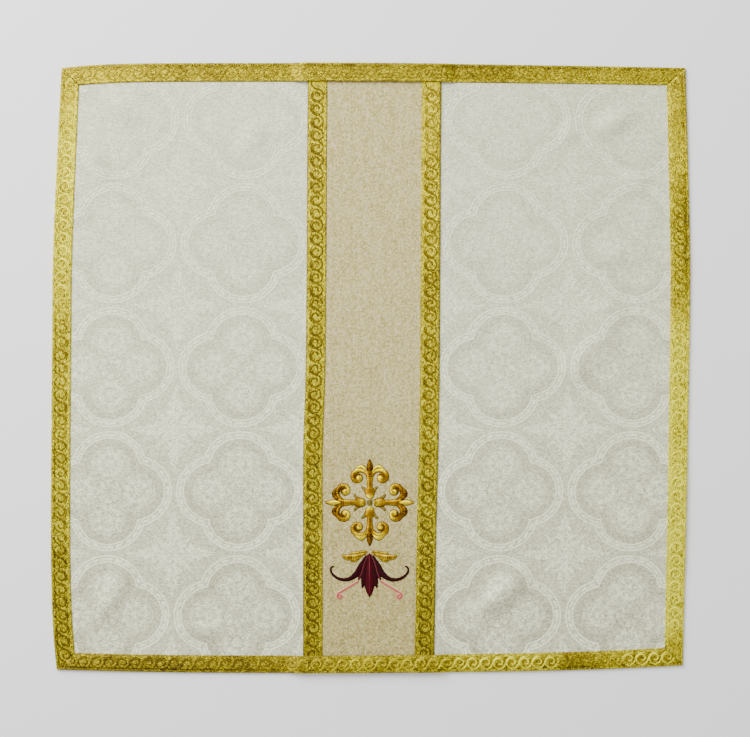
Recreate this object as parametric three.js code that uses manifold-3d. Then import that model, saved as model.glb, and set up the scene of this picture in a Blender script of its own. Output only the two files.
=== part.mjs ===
// Chalice veil: a nearly square cloth of pale damask with a golden orphrey sewn down its middle.
// Galloon braid edges the cloth and both sides of the orphrey. The foot of the orphrey carries an
// embroidered cross fleury above a hanging flower.
// Millimetres, +Z up. The veil lies face up at z = 0, with its head towards +Y.

import * as THREE from "three";
import { mergeVertices } from "three/addons/utils/BufferGeometryUtils.js";
import Module from "manifold-3d";

const wasm = await Module();
wasm.setup();

// Layers: the thickness of each cloth, and the gap that parts one layer from the next
const GAP = 0.3;
const GROUND_THICK = 1.2;
const ORPHREY_THICK = 1.0;
const BRAID_THICK = 1.0;

// Undersides of the layers above a flat table
const ON_GROUND = GROUND_THICK + GAP;
const ON_ORPHREY = ON_GROUND + ORPHREY_THICK + GAP;
const ON_COLUMN = ON_ORPHREY + BRAID_THICK + GAP;

// Outline: the four corners of the border braid, at its outer and its inner edge
const CORNERS = {
  topLeft: { outer: [-264.8, 257.5], inner: [-249.8, 242.6] },
  topRight: { outer: [270.0, 257.7], inner: [253.8, 242.8] },
  footRight: { outer: [267.7, -254.5], inner: [252.2, -239.5] },
  footLeft: { outer: [-269.0, -258.1], inner: [-253.4, -243.8] },
};

// Each edge bows outwards between its corners, less at the braid's inner edge. The bow is widest at a
// share of the way along. The powers say how soon it rises to there and how late it falls away again.
const EDGES = {
  top: { from: "topLeft", to: "topRight", out: [0, 1], bow: 4.35, innerBow: 3.2, widest: 0.4, rise: 7, fall: 1.6 },
  right: { from: "topRight", to: "footRight", out: [1, 0], bow: 5.1, innerBow: 4, widest: 0.35, rise: 1.3, fall: 1.3 },
  bottom: { from: "footLeft", to: "footRight", out: [0, -1], bow: 4.5, innerBow: 3.9, widest: 0.6, rise: 3, fall: 2.5 },
  left: { from: "topLeft", to: "footLeft", out: [-1, 0], bow: 6.3, innerBow: 5.1, widest: 0.35, rise: 1.3, fall: 7 },
};

// Border braid: it lies on the ground's edge and rolls down over it to the table. Its width is nominal,
// since it narrows at the corners, and so is its gap to the ground's edge.
const BORDER_WIDTH = 16.2;
const SHOULDER_DROP = 0.6;
const MITRE_GAP = 0.22;
const EDGE_GAP = 0.35;
const CLOTH_INSET = BRAID_THICK + EDGE_GAP;

// Column: the orphrey and a braid along each of its sides, with the braids' centre lines by height
const COLUMN_BRAID_WIDTH = 16.8;
const ORPHREY_UNDER_BRAID = 6.3;
const SELVEDGE_DROP = 1.9;
const COLUMN_LINES = [
  { y: 262, left: -45.4, right: 52.5 },
  { y: 196.5, left: -45.7, right: 52.0 },
  { y: 131, left: -46.1, right: 51.6 },
  { y: 65.5, left: -46.5, right: 51.3 },
  { y: 0, left: -47.1, right: 50.9 },
  { y: -65.5, left: -49.2, right: 49.9 },
  { y: -131, left: -49.4, right: 48.2 },
  { y: -196.5, left: -49.4, right: 47.1 },
  { y: -262, left: -49.4, right: 46.1 },
];

// Where the border crosses the column it climbs over it, in full this far outside the column's edge
const CROSSING_MARGIN = 2.5;
const CROSSING_RAMP = 12;

// Folds: soft ridges that lift the cloth off the table. Each has its middle, the turn of its crest in
// degrees from +X, half its length and half its width, and its height.
const FOLDS = [
  { name: "head corner pucker", x: -211, y: 222, turn: -40, long: 27, wide: 14, high: 2.4 },
  { name: "head left edge pucker", x: -233, y: 180, turn: -68, long: 30, wide: 13, high: 1.8 },
  { name: "head left inner pucker", x: -103, y: 196, turn: 58, long: 27, wide: 15, high: 1.9 },
  { name: "foot left crease", x: -219, y: -190, turn: 67, long: 44, wide: 15, high: 3.2 },
  { name: "foot left ripple", x: -138, y: -224, turn: 2, long: 44, wide: 13, high: 2.0 },
  { name: "head right crease", x: 209, y: 211, turn: 29, long: 30, wide: 14, high: 3.2 },
  { name: "head right dimple", x: 169, y: 201, turn: 50, long: 17, wide: 13, high: 2.0 },
  { name: "right edge pucker", x: 226, y: 160, turn: -20, long: 19, wide: 14, high: 2.2 },
  { name: "right shoulder crease", x: 213, y: 97, turn: -16, long: 30, wide: 15, high: 2.6 },
  { name: "middle sweep, upper", x: 205, y: 45, turn: 98, long: 36, wide: 22, high: 2.4 },
  { name: "middle sweep, lower", x: 181, y: 6, turn: 40, long: 44, wide: 22, high: 3.0 },
  { name: "right edge crease", x: 226, y: -134, turn: -46, long: 32, wide: 16, high: 3.4 },
  { name: "foot right crease", x: 114, y: -192, turn: 45, long: 46, wide: 18, high: 4.0 },
  { name: "foot corner swell", x: 216, y: -204, turn: 12, long: 30, wide: 20, high: 2.6 },
  { name: "left braid swell", x: -262, y: 128, turn: 88, long: 95, wide: 64, high: 1.1 },
  { name: "right braid swell", x: 264, y: -122, turn: 88, long: 85, wide: 62, high: 1.0 },
];

// Stations along the cloth, as counts of steps, and the share of its width that the column takes up
const LEFT_PANEL_STEPS = 13;
const RIGHT_PANEL_STEPS = 19;
const COLUMN_STEPS = 3;
const HEIGHT_STEPS = 38;
const BRAID_STEPS = 26;
const CROSSING_STEPS = 5;
const COLUMN_SHARE = { from: 0.39, to: 0.615 };

// Passes that settle a point of the leaning column between the bowed edges, and the reach of a weld
const SETTLING_PASSES = 4;
const WELD = 1e-4;

// Embroidery: where it lies on the orphrey and how far each part of it stands up
const CROSS_CENTRE = { x: -0.6, y: -114.8 };
const FLOWER_APEX = { x: -0.8, y: -157.6 };
const RELIEF = { leaf: 0.8, scroll: 0.9, stem: 1.0, cup: 1.1 };

// Cross arm, along +Y from the cross's middle
const ARM_REACH = { upright: 37.2, crosswise: 38.4 };
const CUP = { foot: 3.7, heel: 7.7, shoulder: 11.0, top: 13.5, half: 4.0, halfTop: 1.4 };
const STEM = { foot: 9, waist: 16, head: 26.5, halfFoot: 1.9, halfWaist: 2.2, halfHead: 3.4 };
const SPEAR = { foot: 23.5, widest: 31.0, halfFoot: 1.2, half: 2.3, halfTip: 0.15 };
const VOLUTE = { x: 10.0, y: 21.3, startTurn: 204, sweep: 424, startRadius: 9.4, endRadius: 2.2 };
const VOLUTE_HALF = { start: 0.4, middle: 1.35, end: 0.7, middleAt: 0.4 };
const CREST = { fromX: 0.8, fromY: 25, overX: 6.4, overY: 34, toX: 12.4, toY: 27, half: 1.5, tip: 0.35 };
const SEPAL = { fromX: 3.3, fromY: 7.5, overX: 3.9, overY: 12.6, toX: 7.3, toY: 13.2, half: 0.75, tip: 0.3 };
const BOSS_HALF = 2.3;

// Steps along the curves of the embroidery
const CROSS_STEPS = { cup: 4, stem: 4, spear: 7, volute: 15, crest: 7, sepal: 5 };
const FLOWER_STEPS = { centre: 12, side: 9, hook: 22, leaf: 12, stalk: 6, curl: 11 };

// Flower, hanging from its apex: the spine of each part by its right half, with the half width there
const FLOWER_CLEARANCE = 0.3;
const CENTRE_PETAL = [
  { x: 0, y: -0.6, half: 0.5 },
  { x: 0, y: -12, half: 3.4 },
  { x: 0, y: -24, half: 4.6 },
  { x: 0, y: -32, half: 3.4 },
  { x: 0, y: -38.3, half: 0.3 },
];
const SIDE_PETAL = [
  { x: 0.6, y: -1.5, half: 0.5 },
  { x: 3.7, y: -14, half: 2.5 },
  { x: 5.1, y: -25, half: 2.3 },
  { x: 6.5, y: -30.6, half: 0.4 },
];
const WING_PETAL = [
  { x: 1.2, y: -1.8, half: 0.6 },
  { x: 5.3, y: -12, half: 2.1 },
  { x: 7.8, y: -19, half: 1.9 },
  { x: 9.6, y: -23.8, half: 0.5 },
];
const HOOK_PETAL = [
  { x: 2.6, y: -2.6, half: 0.9 },
  { x: 7.0, y: -11.6, half: 2.7 },
  { x: 11.4, y: -18.6, half: 2.5 },
  { x: 18.0, y: -22.9, half: 1.7 },
  { x: 26.0, y: -22.6, half: 1.3 },
  { x: 32.0, y: -18.2, half: 1.0 },
  { x: 33.2, y: -14.2, half: 0.85 },
  { x: 30.6, y: -12.0, half: 0.6 },
];
const LEAF = [
  { x: 2.4, y: 0.3, half: 0.4 },
  { x: 9.0, y: -1.7, half: 1.9 },
  { x: 14.5, y: -3.9, half: 3.1 },
  { x: 20.0, y: -4.0, half: 2.0 },
  { x: 22.8, y: -1.5, half: 0.35 },
];
const STAMEN = { fromX: 9.4, fromY: -24.6, overX: 17.0, overY: -29.2, curlX: 25.1, curlY: -37.4 };
const STAMEN_CURL = { startTurn: 62, sweep: 400, startRadius: 3.0, endRadius: 0.9 };
const STAMEN_HALF = { start: 0.55, end: 0.5 };

const lerp = THREE.MathUtils.lerp;
const radians = THREE.MathUtils.degToRad;

// Materials

function cloth(color, roughness, metalness) {
  return new THREE.MeshStandardMaterial({ color, roughness, metalness });
}

const DAMASK = cloth(0xd0cdbc, 0.7, 0);
const GOLD_CLOTH = cloth(0xc3bb9a, 0.6, 0.1);
const GALLOON = cloth(0xb8a338, 0.42, 0.55);
const GOLD_THREAD = cloth(0xc8962e, 0.4, 0.35);
const DARK_GOLD_THREAD = cloth(0x6f5a1c, 0.45, 0.35);
const CRIMSON_THREAD = cloth(0x5a0514, 0.45, 0);
const DARK_RED_THREAD = cloth(0x2a060c, 0.45, 0);
const ROSE_THREAD = cloth(0xc8504b, 0.5, 0);

// Outline and folds

// A number from 1 at the middle to 0 at the rim, with a soft start and a soft end
function softFall(distance) {
  return distance < 1 ? Math.cos((distance * Math.PI) / 2) ** 2 : 0;
}

// How far the cloth is lifted off the table at a place
function foldHeight(x, y) {
  let height = 0;
  for (const fold of FOLDS) {
    const turn = radians(fold.turn);
    const along = (x - fold.x) * Math.cos(turn) + (y - fold.y) * Math.sin(turn);
    const across = (y - fold.y) * Math.cos(turn) - (x - fold.x) * Math.sin(turn);
    height += fold.high * softFall(Math.abs(along) / fold.long) * softFall(Math.abs(across) / fold.wide);
  }
  return height;
}

function cornerAt(name, inset) {
  const { outer, inner } = CORNERS[name];
  return new THREE.Vector2(...outer).lerp(new THREE.Vector2(...inner), inset / BORDER_WIDTH);
}

// The point at a share of the way along an edge, moved inwards by the inset
function edgePoint(name, share, inset) {
  const edge = EDGES[name];
  const before = share < edge.widest;
  const away = before ? 1 - share / edge.widest : (share - edge.widest) / (1 - edge.widest);
  const widestBow = lerp(edge.bow, edge.innerBow, inset / BORDER_WIDTH);
  const bow = widestBow * (1 - away ** (before ? edge.rise : edge.fall));
  const point = cornerAt(edge.from, inset).lerp(cornerAt(edge.to, inset), share);
  return point.addScaledVector(new THREE.Vector2(...edge.out), bow);
}

// The point of the whole cloth at shares from left to right and from foot to head
function clothPoint(u, v) {
  const ruled = edgePoint("bottom", u, CLOTH_INSET).lerp(edgePoint("top", u, CLOTH_INSET), v);
  const across = edgePoint("left", 1 - v, CLOTH_INSET).lerp(edgePoint("right", 1 - v, CLOTH_INSET), u);
  const foot = cornerAt("footLeft", CLOTH_INSET).lerp(cornerAt("footRight", CLOTH_INSET), u);
  const head = cornerAt("topLeft", CLOTH_INSET).lerp(cornerAt("topRight", CLOTH_INSET), u);
  return ruled.add(across).sub(foot.lerp(head, v));
}

// The centre line of a column braid at a height, as a smooth curve through the table's rows
function columnLine(side, y) {
  const rows = COLUMN_LINES;
  const last = rows.length - 2;
  const row = rows.findIndex((_, i) => i === last || y >= rows[i + 1].y);
  const share = (rows[row].y - y) / (rows[row].y - rows[row + 1].y);
  const at = (i) => rows[THREE.MathUtils.clamp(i, 0, rows.length - 1)][side];
  const slopeHere = (at(row + 1) - at(row - 1)) / 2;
  const slopeNext = (at(row + 2) - at(row)) / 2;
  const rise = share * share * (3 - 2 * share);
  const easeHere = share * (1 - share) ** 2;
  const easeNext = share * share * (share - 1);
  return lerp(at(row), at(row + 1), rise) + slopeHere * easeHere + slopeNext * easeNext;
}

// The y of the cloth's head or foot edge above or below an x
function edgeHeight(name, x) {
  const from = cornerAt(EDGES[name].from, CLOTH_INSET);
  const to = cornerAt(EDGES[name].to, CLOTH_INSET);
  return edgePoint(name, (x - from.x) / (to.x - from.x), CLOTH_INSET).y;
}

// The point on a line that runs from foot to head at a distance beside a column braid's centre line
function columnPoint(side, beside, share) {
  let x = columnLine(side, 0) + beside;
  let y = 0;
  for (let pass = 0; pass < SETTLING_PASSES; pass += 1) {
    y = lerp(edgeHeight("bottom", x), edgeHeight("top", x), share);
    x = columnLine(side, y) + beside;
  }
  return new THREE.Vector2(x, y);
}

// Shares from one value to another, without the last
function steps(from, to, count) {
  return Array.from({ length: count }, (_, i) => lerp(from, to, i / count));
}

// Solids

// A closed solid from its points and triangles, turned so that its faces point out
function closedSolid(points, triangles) {
  let volume = 0;
  for (const [a, b, c] of triangles) {
    volume += points[a].dot(new THREE.Vector3().crossVectors(points[b], points[c]));
  }
  const facing = volume < 0 ? triangles.map(([a, b, c]) => [a, c, b]) : triangles;
  const geometry = new THREE.BufferGeometry().setFromPoints(points);
  geometry.setIndex(facing.flat());
  geometry.computeVertexNormals();
  return geometry;
}

// A sheet over a grid of columns and rows. Each cell is split along its flatter diagonal.
function sheetSolid(columns, rows, place, under, thick) {
  const points = [];
  for (const level of [0, thick]) {
    for (let j = 0; j < rows.length; j += 1) {
      for (let i = 0; i < columns.length; i += 1) {
        const { x, y } = place(columns[i], rows[j]);
        points.push(new THREE.Vector3(x, y, foldHeight(x, y) + under + level));
      }
    }
  }
  const wide = columns.length;
  const lower = wide * rows.length;
  const triangles = [];
  for (let j = 0; j + 1 < rows.length; j += 1) {
    for (let i = 0; i + 1 < wide; i += 1) {
      const [a, b] = [j * wide + i, j * wide + i + 1];
      const [c, d] = [b + wide, a + wide];
      const rising = Math.abs(points[a].z - points[c].z) <= Math.abs(points[b].z - points[d].z);
      const halves = rising ? [[a, b, c], [a, c, d]] : [[a, b, d], [b, c, d]];
      for (const [p, q, r] of halves) {
        triangles.push([p, r, q], [p + lower, q + lower, r + lower]);
      }
    }
  }
  const rim = [];
  for (let i = 0; i + 1 < wide; i += 1) rim.push(i);
  for (let j = 0; j + 1 < rows.length; j += 1) rim.push(j * wide + wide - 1);
  for (let i = wide - 1; i > 0; i -= 1) rim.push((rows.length - 1) * wide + i);
  for (let j = rows.length - 1; j > 0; j -= 1) rim.push(j * wide);
  rim.forEach((here, i) => {
    const next = rim[(i + 1) % rim.length];
    triangles.push([here, next, next + lower], [here, next + lower, here + lower]);
  });
  return closedSolid(points, triangles);
}

// A strip whose closed section, a ring of points, is carried from station to station
function stripSolid(rings, section) {
  const count = section.length;
  const points = rings.flat();
  const triangles = [];
  for (let i = 0; i + 1 < rings.length; i += 1) {
    for (let k = 0; k < count; k += 1) {
      const [a, b] = [i * count + k, i * count + ((k + 1) % count)];
      triangles.push([a, b, b + count], [a, b + count, a + count]);
    }
  }
  const caps = THREE.ShapeUtils.triangulateShape(section, []);
  const end = (rings.length - 1) * count;
  for (const [a, b, c] of caps) {
    triangles.push([a, c, b], [a + end, b + end, c + end]);
  }
  return closedSolid(points, triangles);
}

function groundCloth() {
  const across = [
    ...steps(0, COLUMN_SHARE.from, LEFT_PANEL_STEPS),
    ...steps(COLUMN_SHARE.from, COLUMN_SHARE.to, COLUMN_STEPS),
    ...steps(COLUMN_SHARE.to, 1, RIGHT_PANEL_STEPS),
    1,
  ];
  return sheetSolid(across, [...steps(0, 1, HEIGHT_STEPS), 1], clothPoint, 0, GROUND_THICK);
}

function orphreyCloth() {
  const place = (u, v) => {
    const left = columnPoint("left", -ORPHREY_UNDER_BRAID, v);
    const right = columnPoint("right", ORPHREY_UNDER_BRAID, v);
    return left.lerp(right, u);
  };
  const across = [...steps(0, 1, COLUMN_STEPS), 1];
  const along = [...steps(0, 1, BRAID_STEPS), 1];
  return sheetSolid(across, along, place, ON_GROUND, ORPHREY_THICK);
}

// A column braid lies on the orphrey, and its outer selvedge dips to the ground beside it
function columnBraid(side) {
  const out = side === "left" ? -1 : 1;
  const half = COLUMN_BRAID_WIDTH / 2;
  const knee = half - SELVEDGE_DROP;
  const section = [
    new THREE.Vector2(-half, ON_ORPHREY),
    new THREE.Vector2(knee, ON_ORPHREY),
    new THREE.Vector2(half, ON_GROUND),
    new THREE.Vector2(half, ON_GROUND + BRAID_THICK),
    new THREE.Vector2(knee, ON_ORPHREY + BRAID_THICK),
    new THREE.Vector2(-half, ON_ORPHREY + BRAID_THICK),
  ];
  const rings = [...steps(0, 1, BRAID_STEPS), 1].map((share) =>
    section.map((corner) => {
      const { x, y } = columnPoint(side, out * corner.x, share);
      return new THREE.Vector3(x, y, foldHeight(x, y) + corner.y);
    }),
  );
  return stripSolid(rings, section);
}

// The share along the head or foot edge at which the border braid's middle has an x
function shareAt(name, x) {
  const from = cornerAt(EDGES[name].from, BORDER_WIDTH / 2);
  const to = cornerAt(EDGES[name].to, BORDER_WIDTH / 2);
  return (x - from.x) / (to.x - from.x);
}

// Stations along a border braid, each with how far it climbs over the column there
function borderStations(name) {
  const length = cornerAt(EDGES[name].from, 0).distanceTo(cornerAt(EDGES[name].to, 0));
  const start = MITRE_GAP / length;
  if (name === "left" || name === "right") {
    return [...steps(start, 1 - start, BRAID_STEPS), 1 - start].map((share) => ({ share, climb: 0 }));
  }
  const full = ON_COLUMN - ON_GROUND;
  const y = edgePoint(name, 0.5, BORDER_WIDTH / 2).y;
  const reach = COLUMN_BRAID_WIDTH / 2 + CROSSING_MARGIN;
  const left = columnLine("left", y) - reach;
  const right = columnLine("right", y) + reach;
  const flatSteps = Math.round((BRAID_STEPS - CROSSING_STEPS) / 2);
  const leftFlat = steps(start, shareAt(name, left - CROSSING_RAMP), flatSteps);
  const rightFlat = steps(1 - start, shareAt(name, right + CROSSING_RAMP), flatSteps).reverse();
  const over = [...steps(shareAt(name, left), shareAt(name, right), CROSSING_STEPS), shareAt(name, right)];
  return [
    ...leftFlat.map((share) => ({ share, climb: 0 })),
    { share: shareAt(name, left - CROSSING_RAMP), climb: 0 },
    { share: shareAt(name, left - CROSSING_RAMP / 2), climb: full / 2 },
    ...over.map((share) => ({ share, climb: full })),
    { share: shareAt(name, right + CROSSING_RAMP / 2), climb: full / 2 },
    { share: shareAt(name, right + CROSSING_RAMP), climb: 0 },
    ...rightFlat.map((share) => ({ share, climb: 0 })),
  ];
}

// A border braid: flat on the cloth, with a wall that turns down outside the cloth's edge
function borderBraid(name) {
  const section = [
    { inset: 0, level: 0, climbs: 0 },
    { inset: BRAID_THICK, level: 0, climbs: 0 },
    { inset: BRAID_THICK, level: ON_GROUND, climbs: 1 },
    { inset: BORDER_WIDTH, level: ON_GROUND, climbs: 1 },
    { inset: BORDER_WIDTH, level: ON_GROUND + BRAID_THICK, climbs: 1 },
    { inset: BRAID_THICK, level: ON_GROUND + BRAID_THICK, climbs: 1 },
    { inset: 0, level: ON_GROUND + BRAID_THICK - SHOULDER_DROP, climbs: 1 },
  ];
  const rings = borderStations(name).map(({ share, climb }) =>
    section.map(({ inset, level, climbs }) => {
      const { x, y } = edgePoint(name, share, inset);
      return new THREE.Vector3(x, y, foldHeight(x, y) + level + climb * climbs);
    }),
  );
  return stripSolid(rings, section.map(({ inset, level }) => new THREE.Vector2(inset, level)));
}

// Embroidery

// A closed geometry as a solid that can be joined and cut
function toSolid(geometry) {
  const bare = geometry.clone();
  bare.deleteAttribute("normal");
  bare.deleteAttribute("uv");
  const merged = mergeVertices(bare, WELD);
  const mesh = new wasm.Mesh({
    numProp: 3,
    vertProperties: merged.attributes.position.array,
    triVerts: new Uint32Array(merged.index.array),
  });
  return new wasm.Manifold(mesh);
}

// The largest body of a solid, as a geometry
function toGeometry(solid) {
  const bodies = solid.decompose().sort((a, b) => b.volume() - a.volume());
  const mesh = bodies[0].getMesh();
  const geometry = new THREE.BufferGeometry();
  geometry.setAttribute("position", new THREE.BufferAttribute(mesh.vertProperties, 3));
  geometry.setIndex(new THREE.BufferAttribute(mesh.triVerts, 1));
  geometry.computeVertexNormals();
  return geometry;
}

function join(solids) {
  return solids.reduce((whole, solid) => whole.add(solid));
}

function plate(outline, high) {
  const shape = new THREE.Shape(outline);
  return toSolid(new THREE.ExtrudeGeometry(shape, { depth: high, bevelEnabled: false }));
}

// A flat ribbon along a spine of points, each with the half width there
function ribbon(spine, high) {
  const sides = { left: [], right: [] };
  spine.forEach((point, i) => {
    const before = spine[Math.max(i - 1, 0)];
    const after = spine[Math.min(i + 1, spine.length - 1)];
    const run = new THREE.Vector2(after.x - before.x, after.y - before.y).normalize();
    sides.left.push(new THREE.Vector2(point.x - run.y * point.half, point.y + run.x * point.half));
    sides.right.push(new THREE.Vector2(point.x + run.y * point.half, point.y - run.x * point.half));
  });
  return plate([...sides.left, ...sides.right.reverse()], high);
}

// Points of a smooth curve through the rows of a table, grown by a clearance where one is given
function smoothSpine(rows, count, grow = 0) {
  const curve = new THREE.CatmullRomCurve3(rows.map((row) => new THREE.Vector3(row.x, row.y, row.half)));
  return curve.getPoints(count).map(({ x, y, z }) => ({ x, y, half: z + grow }));
}

// Points of a curve from one place over another to a third, widest in the middle
function archSpine(arch, count) {
  return [...steps(0, 1, count), 1].map((share) => {
    const [a, b, c] = [(1 - share) ** 2, 2 * share * (1 - share), share ** 2];
    return {
      x: a * arch.fromX + b * arch.overX + c * arch.toX,
      y: a * arch.fromY + b * arch.overY + c * arch.toY,
      half: lerp(arch.tip, arch.half, Math.sin(Math.PI * share)),
    };
  });
}

// Points of a spiral that winds clockwise into its middle
function spiralSpine(centre, spiral, half, count) {
  return [...steps(0, 1, count), 1].map((share) => {
    const turn = radians(spiral.startTurn - spiral.sweep * share);
    const radius = lerp(spiral.endRadius, spiral.startRadius, (1 - share) ** 2);
    const [x, y] = [centre.x + radius * Math.cos(turn), centre.y + radius * Math.sin(turn)];
    return { x, y, half: half(share) };
  });
}

// One arm of the cross: a cup, a stem, a spear, and a sepal, a crest and a volute on each side
function crossArm(reach) {
  const cup = new THREE.Shape();
  cup.moveTo(-CUP.halfTop, CUP.top);
  cup.quadraticCurveTo(-CUP.half, CUP.shoulder, -CUP.half, CUP.heel);
  cup.quadraticCurveTo(-CUP.half, CUP.foot, 0, CUP.foot);
  cup.quadraticCurveTo(CUP.half, CUP.foot, CUP.half, CUP.heel);
  cup.quadraticCurveTo(CUP.half, CUP.shoulder, CUP.halfTop, CUP.top);
  const spear = [
    { x: 0, y: SPEAR.foot, half: SPEAR.halfFoot },
    { x: 0, y: SPEAR.widest, half: SPEAR.half },
    { x: 0, y: reach, half: SPEAR.halfTip },
  ];
  const stem = [
    { x: 0, y: STEM.foot, half: STEM.halfFoot },
    { x: 0, y: STEM.waist, half: STEM.halfWaist },
    { x: 0, y: STEM.head, half: STEM.halfHead },
  ];
  const { start, middle, end, middleAt } = VOLUTE_HALF;
  const voluteHalf = (share) =>
    share < middleAt
      ? lerp(start, middle, share / middleAt)
      : lerp(middle, end, (share - middleAt) / (1 - middleAt));
  const side = join([
    ribbon(spiralSpine(VOLUTE, VOLUTE, voluteHalf, CROSS_STEPS.volute), RELIEF.scroll),
    ribbon(archSpine(CREST, CROSS_STEPS.crest), RELIEF.leaf),
    ribbon(archSpine(SEPAL, CROSS_STEPS.sepal), RELIEF.leaf),
  ]);
  return toGeometry(
    join([
      plate(cup.getPoints(CROSS_STEPS.cup).slice(0, -1), RELIEF.cup),
      ribbon(smoothSpine(stem, CROSS_STEPS.stem), RELIEF.stem),
      ribbon(smoothSpine(spear, CROSS_STEPS.spear), RELIEF.cup),
      side,
      side.mirror([1, 0, 0]),
    ]),
  );
}

// The bell: centre petal, side petals and wing petals in one, grown by a clearance to cut others with
function bellSolid(grow, high) {
  const side = join([
    ribbon(smoothSpine(SIDE_PETAL, FLOWER_STEPS.side, grow), high),
    ribbon(smoothSpine(WING_PETAL, FLOWER_STEPS.side, grow), high),
  ]);
  const centre = ribbon(smoothSpine(CENTRE_PETAL, FLOWER_STEPS.centre, grow), high);
  return join([centre, side, side.mirror([1, 0, 0])]);
}

function stamenSolid() {
  const curl = spiralSpine(
    { x: STAMEN.curlX, y: STAMEN.curlY },
    STAMEN_CURL,
    (share) => lerp(STAMEN_HALF.start, STAMEN_HALF.end, share),
    FLOWER_STEPS.curl,
  );
  const thin = { half: STAMEN_HALF.start, tip: STAMEN_HALF.start };
  const run = { ...STAMEN, ...thin, toX: curl[0].x, toY: curl[0].y };
  const stalk = archSpine(run, FLOWER_STEPS.stalk);
  return ribbon([...stalk.slice(0, -1), ...curl], RELIEF.leaf);
}

// The flower's parts by name: the bell whole, and the others by their right half
function flowerParts() {
  const tall = 2 * RELIEF.cup;
  const bellRoom = bellSolid(FLOWER_CLEARANCE, tall);
  const petal = ribbon(smoothSpine(HOOK_PETAL, FLOWER_STEPS.hook), RELIEF.stem).subtract(bellRoom);
  const petalRoom = ribbon(smoothSpine(HOOK_PETAL, FLOWER_STEPS.hook, FLOWER_CLEARANCE), tall);
  const room = bellRoom.add(petalRoom);
  return {
    bell: toGeometry(bellSolid(0, RELIEF.cup)),
    petal,
    leaf: ribbon(smoothSpine(LEAF, FLOWER_STEPS.leaf), RELIEF.leaf).subtract(room),
    stamen: stamenSolid().subtract(room),
  };
}

// Assembly

const veil = new THREE.Group();

function add(parent, name, geometry, material) {
  const mesh = new THREE.Mesh(geometry, material);
  mesh.name = name;
  parent.add(mesh);
  return mesh;
}

add(veil, "ground_damask", groundCloth(), DAMASK);
add(veil, "orphrey_cloth", orphreyCloth(), GOLD_CLOTH);
for (const side of ["left", "right"]) {
  add(veil, `column_braid_${side}`, columnBraid(side), GALLOON);
}
for (const name of Object.keys(EDGES)) {
  add(veil, `border_braid_${name}`, borderBraid(name), GALLOON);
}

const cross = new THREE.Group();
cross.position.set(CROSS_CENTRE.x, CROSS_CENTRE.y, ON_ORPHREY);
veil.add(cross);
const armShapes = { upright: crossArm(ARM_REACH.upright), crosswise: crossArm(ARM_REACH.crosswise) };
const ARMS = [
  { name: "up", turn: 0, shape: "upright" },
  { name: "left", turn: 90, shape: "crosswise" },
  { name: "down", turn: 180, shape: "upright" },
  { name: "right", turn: 270, shape: "crosswise" },
];
for (const arm of ARMS) {
  const mesh = add(cross, `cross_arm_${arm.name}`, armShapes[arm.shape], GOLD_THREAD);
  mesh.rotation.z = radians(arm.turn);
}
const boss = new THREE.BoxGeometry(2 * BOSS_HALF, 2 * BOSS_HALF, RELIEF.leaf);
add(cross, "cross_boss", boss, DARK_GOLD_THREAD).position.z = RELIEF.leaf / 2;

const flower = new THREE.Group();
flower.position.set(FLOWER_APEX.x, FLOWER_APEX.y, ON_ORPHREY);
veil.add(flower);
const parts = flowerParts();
add(flower, "flower_bell", parts.bell, CRIMSON_THREAD);
for (const side of ["left", "right"]) {
  const half = (solid) => toGeometry(side === "left" ? solid.mirror([1, 0, 0]) : solid);
  add(flower, `flower_petal_${side}`, half(parts.petal), DARK_RED_THREAD);
  add(flower, `flower_leaf_${side}`, half(parts.leaf), GOLD_THREAD);
  add(flower, `flower_stamen_${side}`, half(parts.stamen), ROSE_THREAD);
}

// The middle of the outline's box stands on the origin
const box = new THREE.Box3().setFromObject(veil);
const middle = box.getCenter(new THREE.Vector3());
veil.position.set(-middle.x, -middle.y, 0);

export default veil;
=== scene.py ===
"""Looks of a chalice veil: pale damask with a braid border and a braided, embroidered column.

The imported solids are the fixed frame. Sizes and places in this file are in millimetres, in the frame
of the solids' own outline, and every mesh is turned into metres as it is made. The veil lies face up
on z = 0, with its head towards +Y.
"""

import logging
import math
from collections.abc import Iterable, Sequence
from dataclasses import dataclass, field
from enum import Enum

import bmesh
import bpy
import numpy as np
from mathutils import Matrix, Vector


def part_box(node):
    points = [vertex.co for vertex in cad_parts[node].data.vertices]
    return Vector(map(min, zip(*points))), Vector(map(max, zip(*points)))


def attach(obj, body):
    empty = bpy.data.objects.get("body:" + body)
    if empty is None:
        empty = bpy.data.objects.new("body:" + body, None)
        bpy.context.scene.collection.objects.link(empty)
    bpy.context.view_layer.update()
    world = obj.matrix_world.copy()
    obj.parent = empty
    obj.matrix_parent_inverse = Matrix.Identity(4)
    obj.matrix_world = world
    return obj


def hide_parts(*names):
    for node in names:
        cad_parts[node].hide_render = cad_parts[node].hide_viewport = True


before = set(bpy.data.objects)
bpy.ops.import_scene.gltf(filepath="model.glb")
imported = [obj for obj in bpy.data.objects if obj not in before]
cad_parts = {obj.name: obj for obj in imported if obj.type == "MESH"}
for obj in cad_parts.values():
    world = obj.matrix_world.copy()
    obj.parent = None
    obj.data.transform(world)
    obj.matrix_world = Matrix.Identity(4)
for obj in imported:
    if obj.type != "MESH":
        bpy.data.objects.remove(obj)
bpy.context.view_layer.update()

Array = np.ndarray
Rows = Sequence[tuple[float, ...]]
Stops = Sequence[tuple[float, tuple[int, int, int]]]
LOG = logging.getLogger("veil")

MM = 0.001

# Layers above the table: undersides and tops of each cloth where nothing lifts it
GROUND_TOP = 1.15
ORPHREY_UNDER = 1.2
ORPHREY_TOP = 2.35
THREAD_UNDER = 2.38
CLOTH_INSET = 1.35
ORPHREY_UNDER_BRAID = 6.3

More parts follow.
